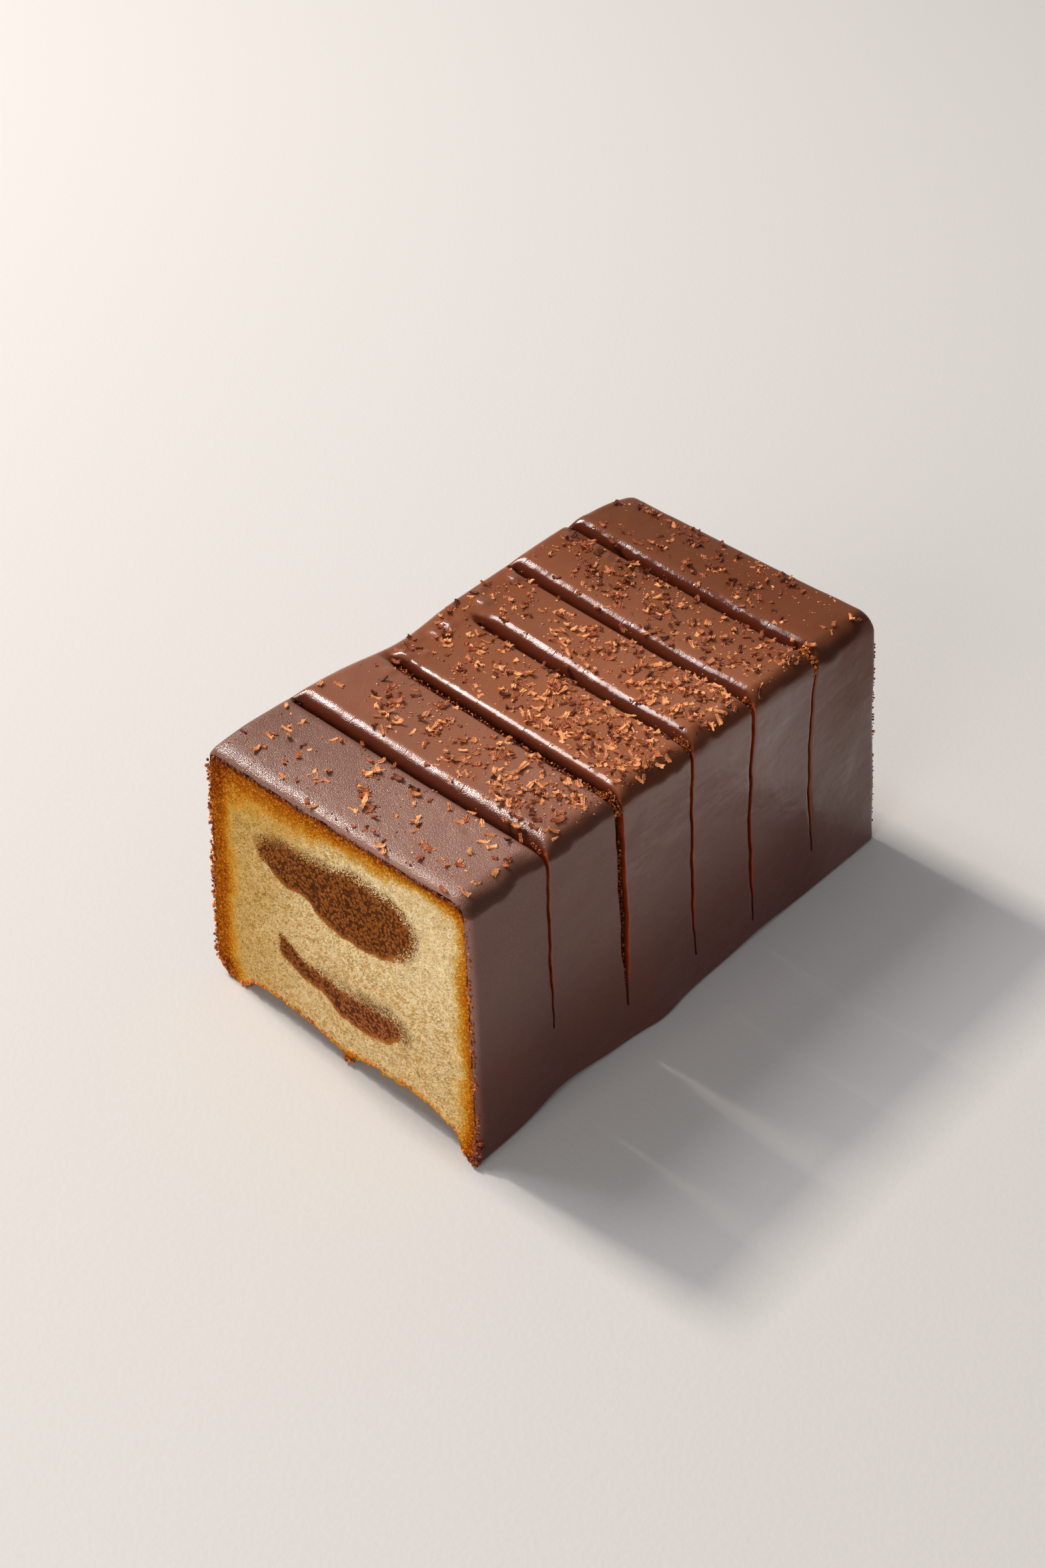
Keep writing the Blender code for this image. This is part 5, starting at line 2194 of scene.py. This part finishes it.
@dataclass
class BrownedCrumbs(Strewn):
    """Granules of browned crust: in the slits, along the edges of both cuts and at the front foot."""

    name: str = "browned_crumbs"
    seed: int = 51
    sharp_degrees: float = 50.0
    finish: MorselFinish = BROWNED
    lean: float = 0.6
    slit_unevenness: float = 0.35
    edge_unevenness: float = 0.3
    clear_of_floor: float = 0.68
    slits: tuple = tuple(SlitCrumbs(*sizes) for sizes in (
        (1, (2.08, 3.3), (-1.9, -0.9), (0.0, 0.7), (0.2, 0.5), (0.0, 0.75), 170),
        (1, (2.6, 3.3), (-1.2, -0.7), (0.5, 1.6), (0.3, 0.7), (-0.1, 0.4), 90),
        (1, (3.1, 4.0), (-1.3, 0.9), (0.1, 1.4), (0.25, 0.65), (-0.2, 0.75), 170),
        (1, (4.1, 4.8), (-0.5, 0.1), (0.3, 1.2), (0.3, 0.6), (-0.1, 0.3), 90),
        (2, (2.95, 3.7), (-1.0, 0.8), (0.1, 1.1), (0.25, 0.65), (-0.2, 0.85), 80),
        (3, (3.3, 3.75), (-0.5, 0.5), (0.2, 1.0), (0.3, 0.7), (0.0, 0.8), 18),
        (4, (3.0, 4.0), (-1.3, 1.0), (0.0, 0.9), (0.3, 0.85), (-0.1, 1.0), 150),
        (0, (3.1, 3.5), (-0.5, 0.3), (0.2, 0.9), (0.3, 0.6), (0.0, 0.9), 16),
    ))
    edges: tuple = tuple(EdgeCrumbs(*sizes) for sizes in (
        ((-40.3, 5.0), (-35.4, 59.5), (-0.2, 1.1), (-0.2, 0.5), (0.3, 0.85), (0.1, 0.9), 380),
        ((-40.3, 4.0), (-35.4, 58.0), (0.0, 0.3), (0.1, 1.3), (0.3, 0.6), (0.0, 0.4), 70),
        ((39.0, 3.0), (33.6, 60.0), (-0.1, 1.1), (-0.15, 0.2), (0.3, 0.65), (0.1, 0.75), 190),
        ((-33.5, 61.9), (33.0, 61.9), (-0.25, 0.8), (-0.15, 0.2), (0.25, 0.6), (-0.1, 0.35), 330),
        ((-36.0, 0.9), (36.5, 0.9), (-0.2, 0.8), (-0.1, 0.4), (0.3, 1.0), (0.4, 1.1), 170, True),
        ((-32.5, 0.3), (-23.0, 0.5), (-0.5, 0.8), (-0.1, 0.6), (0.4, 1.2), (0.5, 1.0), 90, True),
        ((-39.6, 4.5), (-34.0, 0.9), (-0.2, 1.2), (-0.2, 1.2), (0.4, 1.0), (0.1, 0.8), 70),
        ((39.7, 0.6), (39.2, 5.5), (-0.4, 1.3), (-0.2, 1.0), (0.4, 1.0), (0.0, 0.4), 120),
        ((39.0, 3.0), (34.6, 56.0), (-0.3, 0.9), (-0.2, 0.2), (0.3, 0.7), (0.1, 0.8), 170, False, True),
        ((-33.5, 61.9), (33.0, 61.9), (-0.2, 0.8), (-0.15, 0.2), (0.25, 0.6), (-0.1, 0.5), 200, False, True),
        ((0.6, 1.4), (2.8, 1.8), (-0.5, 0.6), (-0.2, 1.0), (0.4, 0.9), (0.1, 0.6), 30),
    ))

    def in_slits(self, rng: random.Random) -> Morsels:
        """Makes the crumbs in the slits.

        Args:
            rng: The draws.

        Returns:
            The same as morsels.
        """
        for patch in self.slits:
            slit = SLITS[patch.slit]
            for _ in range(patch.count):
                place = rng.uniform(*patch.places)
                x, z = (float(value) for value in SHAPE.girth(place, slit.y))
                y = float(SHAPE.slit_y(slit, x, z)) + rng.uniform(*patch.across) * MM
                spot = Spot.on_coat(place, y, rng.uniform(*patch.depth) * MM)
                matrix = spot.frame(any_turn(rng), rng.uniform(-self.lean, self.lean), 0.0)
                crumb = lump(rng, rng.uniform(*patch.size) * MM, self.slit_unevenness)
                yield crumb, matrix, rng.uniform(*patch.tone)

    def on_edges(self, rng: random.Random) -> Morsels:
        """Makes the crumbs along the edges of the cuts.

        Args:
            rng: The draws.

        Returns:
            The same as morsels.
        """
        for patch in self.edges:
            start, end = Vector(patch.start), Vector(patch.end)
            inward = (end - start).normalized()
            inward = Vector((inward.y, -inward.x))
            for _ in range(patch.count):
                size = rng.uniform(*patch.size)
                spot = start.lerp(end, rng.random()) + inward * rng.uniform(*patch.inward)
                x, z = spot.x * MM, max(spot.y, size * self.clear_of_floor) * MM
                if patch.arched:
                    z += float(SHAPE.underside(x, -SHAPE.length / 2))
                cut = -float(SHAPE.rear_y(x, z)) if patch.rear else float(SHAPE.front_y(x, z))
                y = (cut + rng.uniform(*patch.back) * MM) * (-1 if patch.rear else 1)
                at = Vector(SHAPE.uneven(np.array([x]), np.array([y]), np.array([z]))[0])
                matrix = Matrix.Translation(at) @ Matrix.Rotation(any_turn(rng), 4, "Y")
                yield lump(rng, size * MM, self.edge_unevenness), matrix, rng.uniform(*patch.tone)

    def morsels(self, rng: random.Random) -> Morsels:
        """Makes the crumbs one by one.

        Args:
            rng: The draws.

        Returns:
            The shape of each, where it lies and its tone from 0 to 1.
        """
        yield from self.in_slits(rng)
        yield from self.on_edges(rng)


# The studio


@dataclass(frozen=True)
class SoftLight:
    """A rectangular soft light that faces the loaf; its width lies level."""

    name: str
    way: Triple
    distance: float
    width: float
    height: float
    power: float
    colour: Colour

    def build(self, target: Vector) -> None:
        """Places the light.

        Args:
            target: What it faces.
        """
        light = bpy.data.lights.new(self.name, "AREA")
        light.shape = "RECTANGLE"
        light.size = self.width
        light.size_y = self.height
        light.energy = self.power
        light.color = self.colour
        item = bpy.data.objects.new(self.name, light)
        bpy.context.scene.collection.objects.link(item)
        way = Vector(self.way).normalized()
        item.location = target + way * self.distance
        item.rotation_euler = way.to_track_quat("Z", "Y").to_euler()


@dataclass
class Studio:
    """The floor, the soft lights and the camera."""

    floor_size: float = 6.0
    floor_drop: float = 0.02 * MM
    floor_sharp: float = 30.0
    camera_at: Triple = (0.238555, -0.272107, 0.33354)
    azimuth: float = math.radians(42.335)
    elevation: float = math.radians(39.483)
    lens: float = 50.0
    film_height: float = 36.0
    nearest: float = 0.01
    target: Triple = (0.0, 0.0, 30 * MM)
    sky: Colour = (0.89, 0.89, 0.96)
    sky_strength: float = 0.34
    lights: tuple = (
        SoftLight("key", (-0.70, -0.02, 0.71), 1.6, 0.2, 0.2, 23.5, (1.0, 0.94, 0.85)),
        SoftLight("window", (-0.53, -0.08, 0.80), 1.6, 0.55, 0.45, 11.5, (0.96, 0.95, 0.98)),
        SoftLight("front_fill", (0.10, -0.95, 0.35), 1.2, 0.7, 0.7, 7.4, (1.0, 0.95, 0.87)),
    )
    floor_finish: FloorFinish = field(default_factory=FloorFinish)

    def build_floor(self) -> None:
        """Lays the floor."""
        bm = bmesh.new()
        bmesh.ops.create_grid(bm, x_segments=1, y_segments=1, size=self.floor_size / 2)
        bmesh.ops.translate(bm, vec=(0, 0, -self.floor_drop), verts=bm.verts)
        floor = mesh_object("floor", bm, self.floor_sharp)
        dress(floor, self.floor_finish.material(), {})

    def build_camera(self) -> None:
        """Sets up the camera and makes it the scene's own."""
        camera = bpy.data.cameras.new("camera")
        camera.sensor_fit = "VERTICAL"
        camera.sensor_height = self.film_height
        camera.lens = self.lens
        camera.clip_start = self.nearest
        item = bpy.data.objects.new("camera", camera)
        bpy.context.scene.collection.objects.link(item)
        item.location = self.camera_at
        item.rotation_euler = (math.pi / 2 - self.elevation, 0.0, self.azimuth)
        bpy.context.scene.camera = item

    def build(self) -> None:
        """Builds the studio."""
        self.build_floor()
        self.build_camera()
        for light in self.lights:
            light.build(Vector(self.target))
        world = bpy.data.worlds.new("sky")
        bpy.context.scene.world = world
        world.use_nodes = True
        background = world.node_tree.nodes["Background"]
        background.inputs["Color"].default_value = (*self.sky, 1)
        background.inputs["Strength"].default_value = self.sky_strength
        bpy.context.scene.view_settings.view_transform = "Standard"


def main() -> None:
    """Builds the loaf's pieces and its studio."""
    logging.basicConfig(level=logging.INFO, format="%(name)s %(message)s")
    dust = Specks("chocolate_dust", 31, 2200, unevenness=0.35, clumped=0.5, tone=(0.1, 0.95), finish=SHAVED)
    drops = Specks("melted_specks", 41, 650, unevenness=0.03, clumped=0.4, tone=(0.3, 0.8), finish=MELTED)
    replacing = (
        (Crumb(), "cake"),
        (BrownedCrumbs(), "cake"),
        (Coat(), "glaze"),
        (Shavings(), "glaze"),
        (dust, "glaze"),
        (drops, "glaze"),
    )
    for piece, node in replacing:
        item = piece.build()
        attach(item, BODY)
        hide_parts(node)
        LOG.info("%s: %d faces", item.name, len(item.data.polygons))
    Studio().build()


if __name__ == "__main__":
    main()
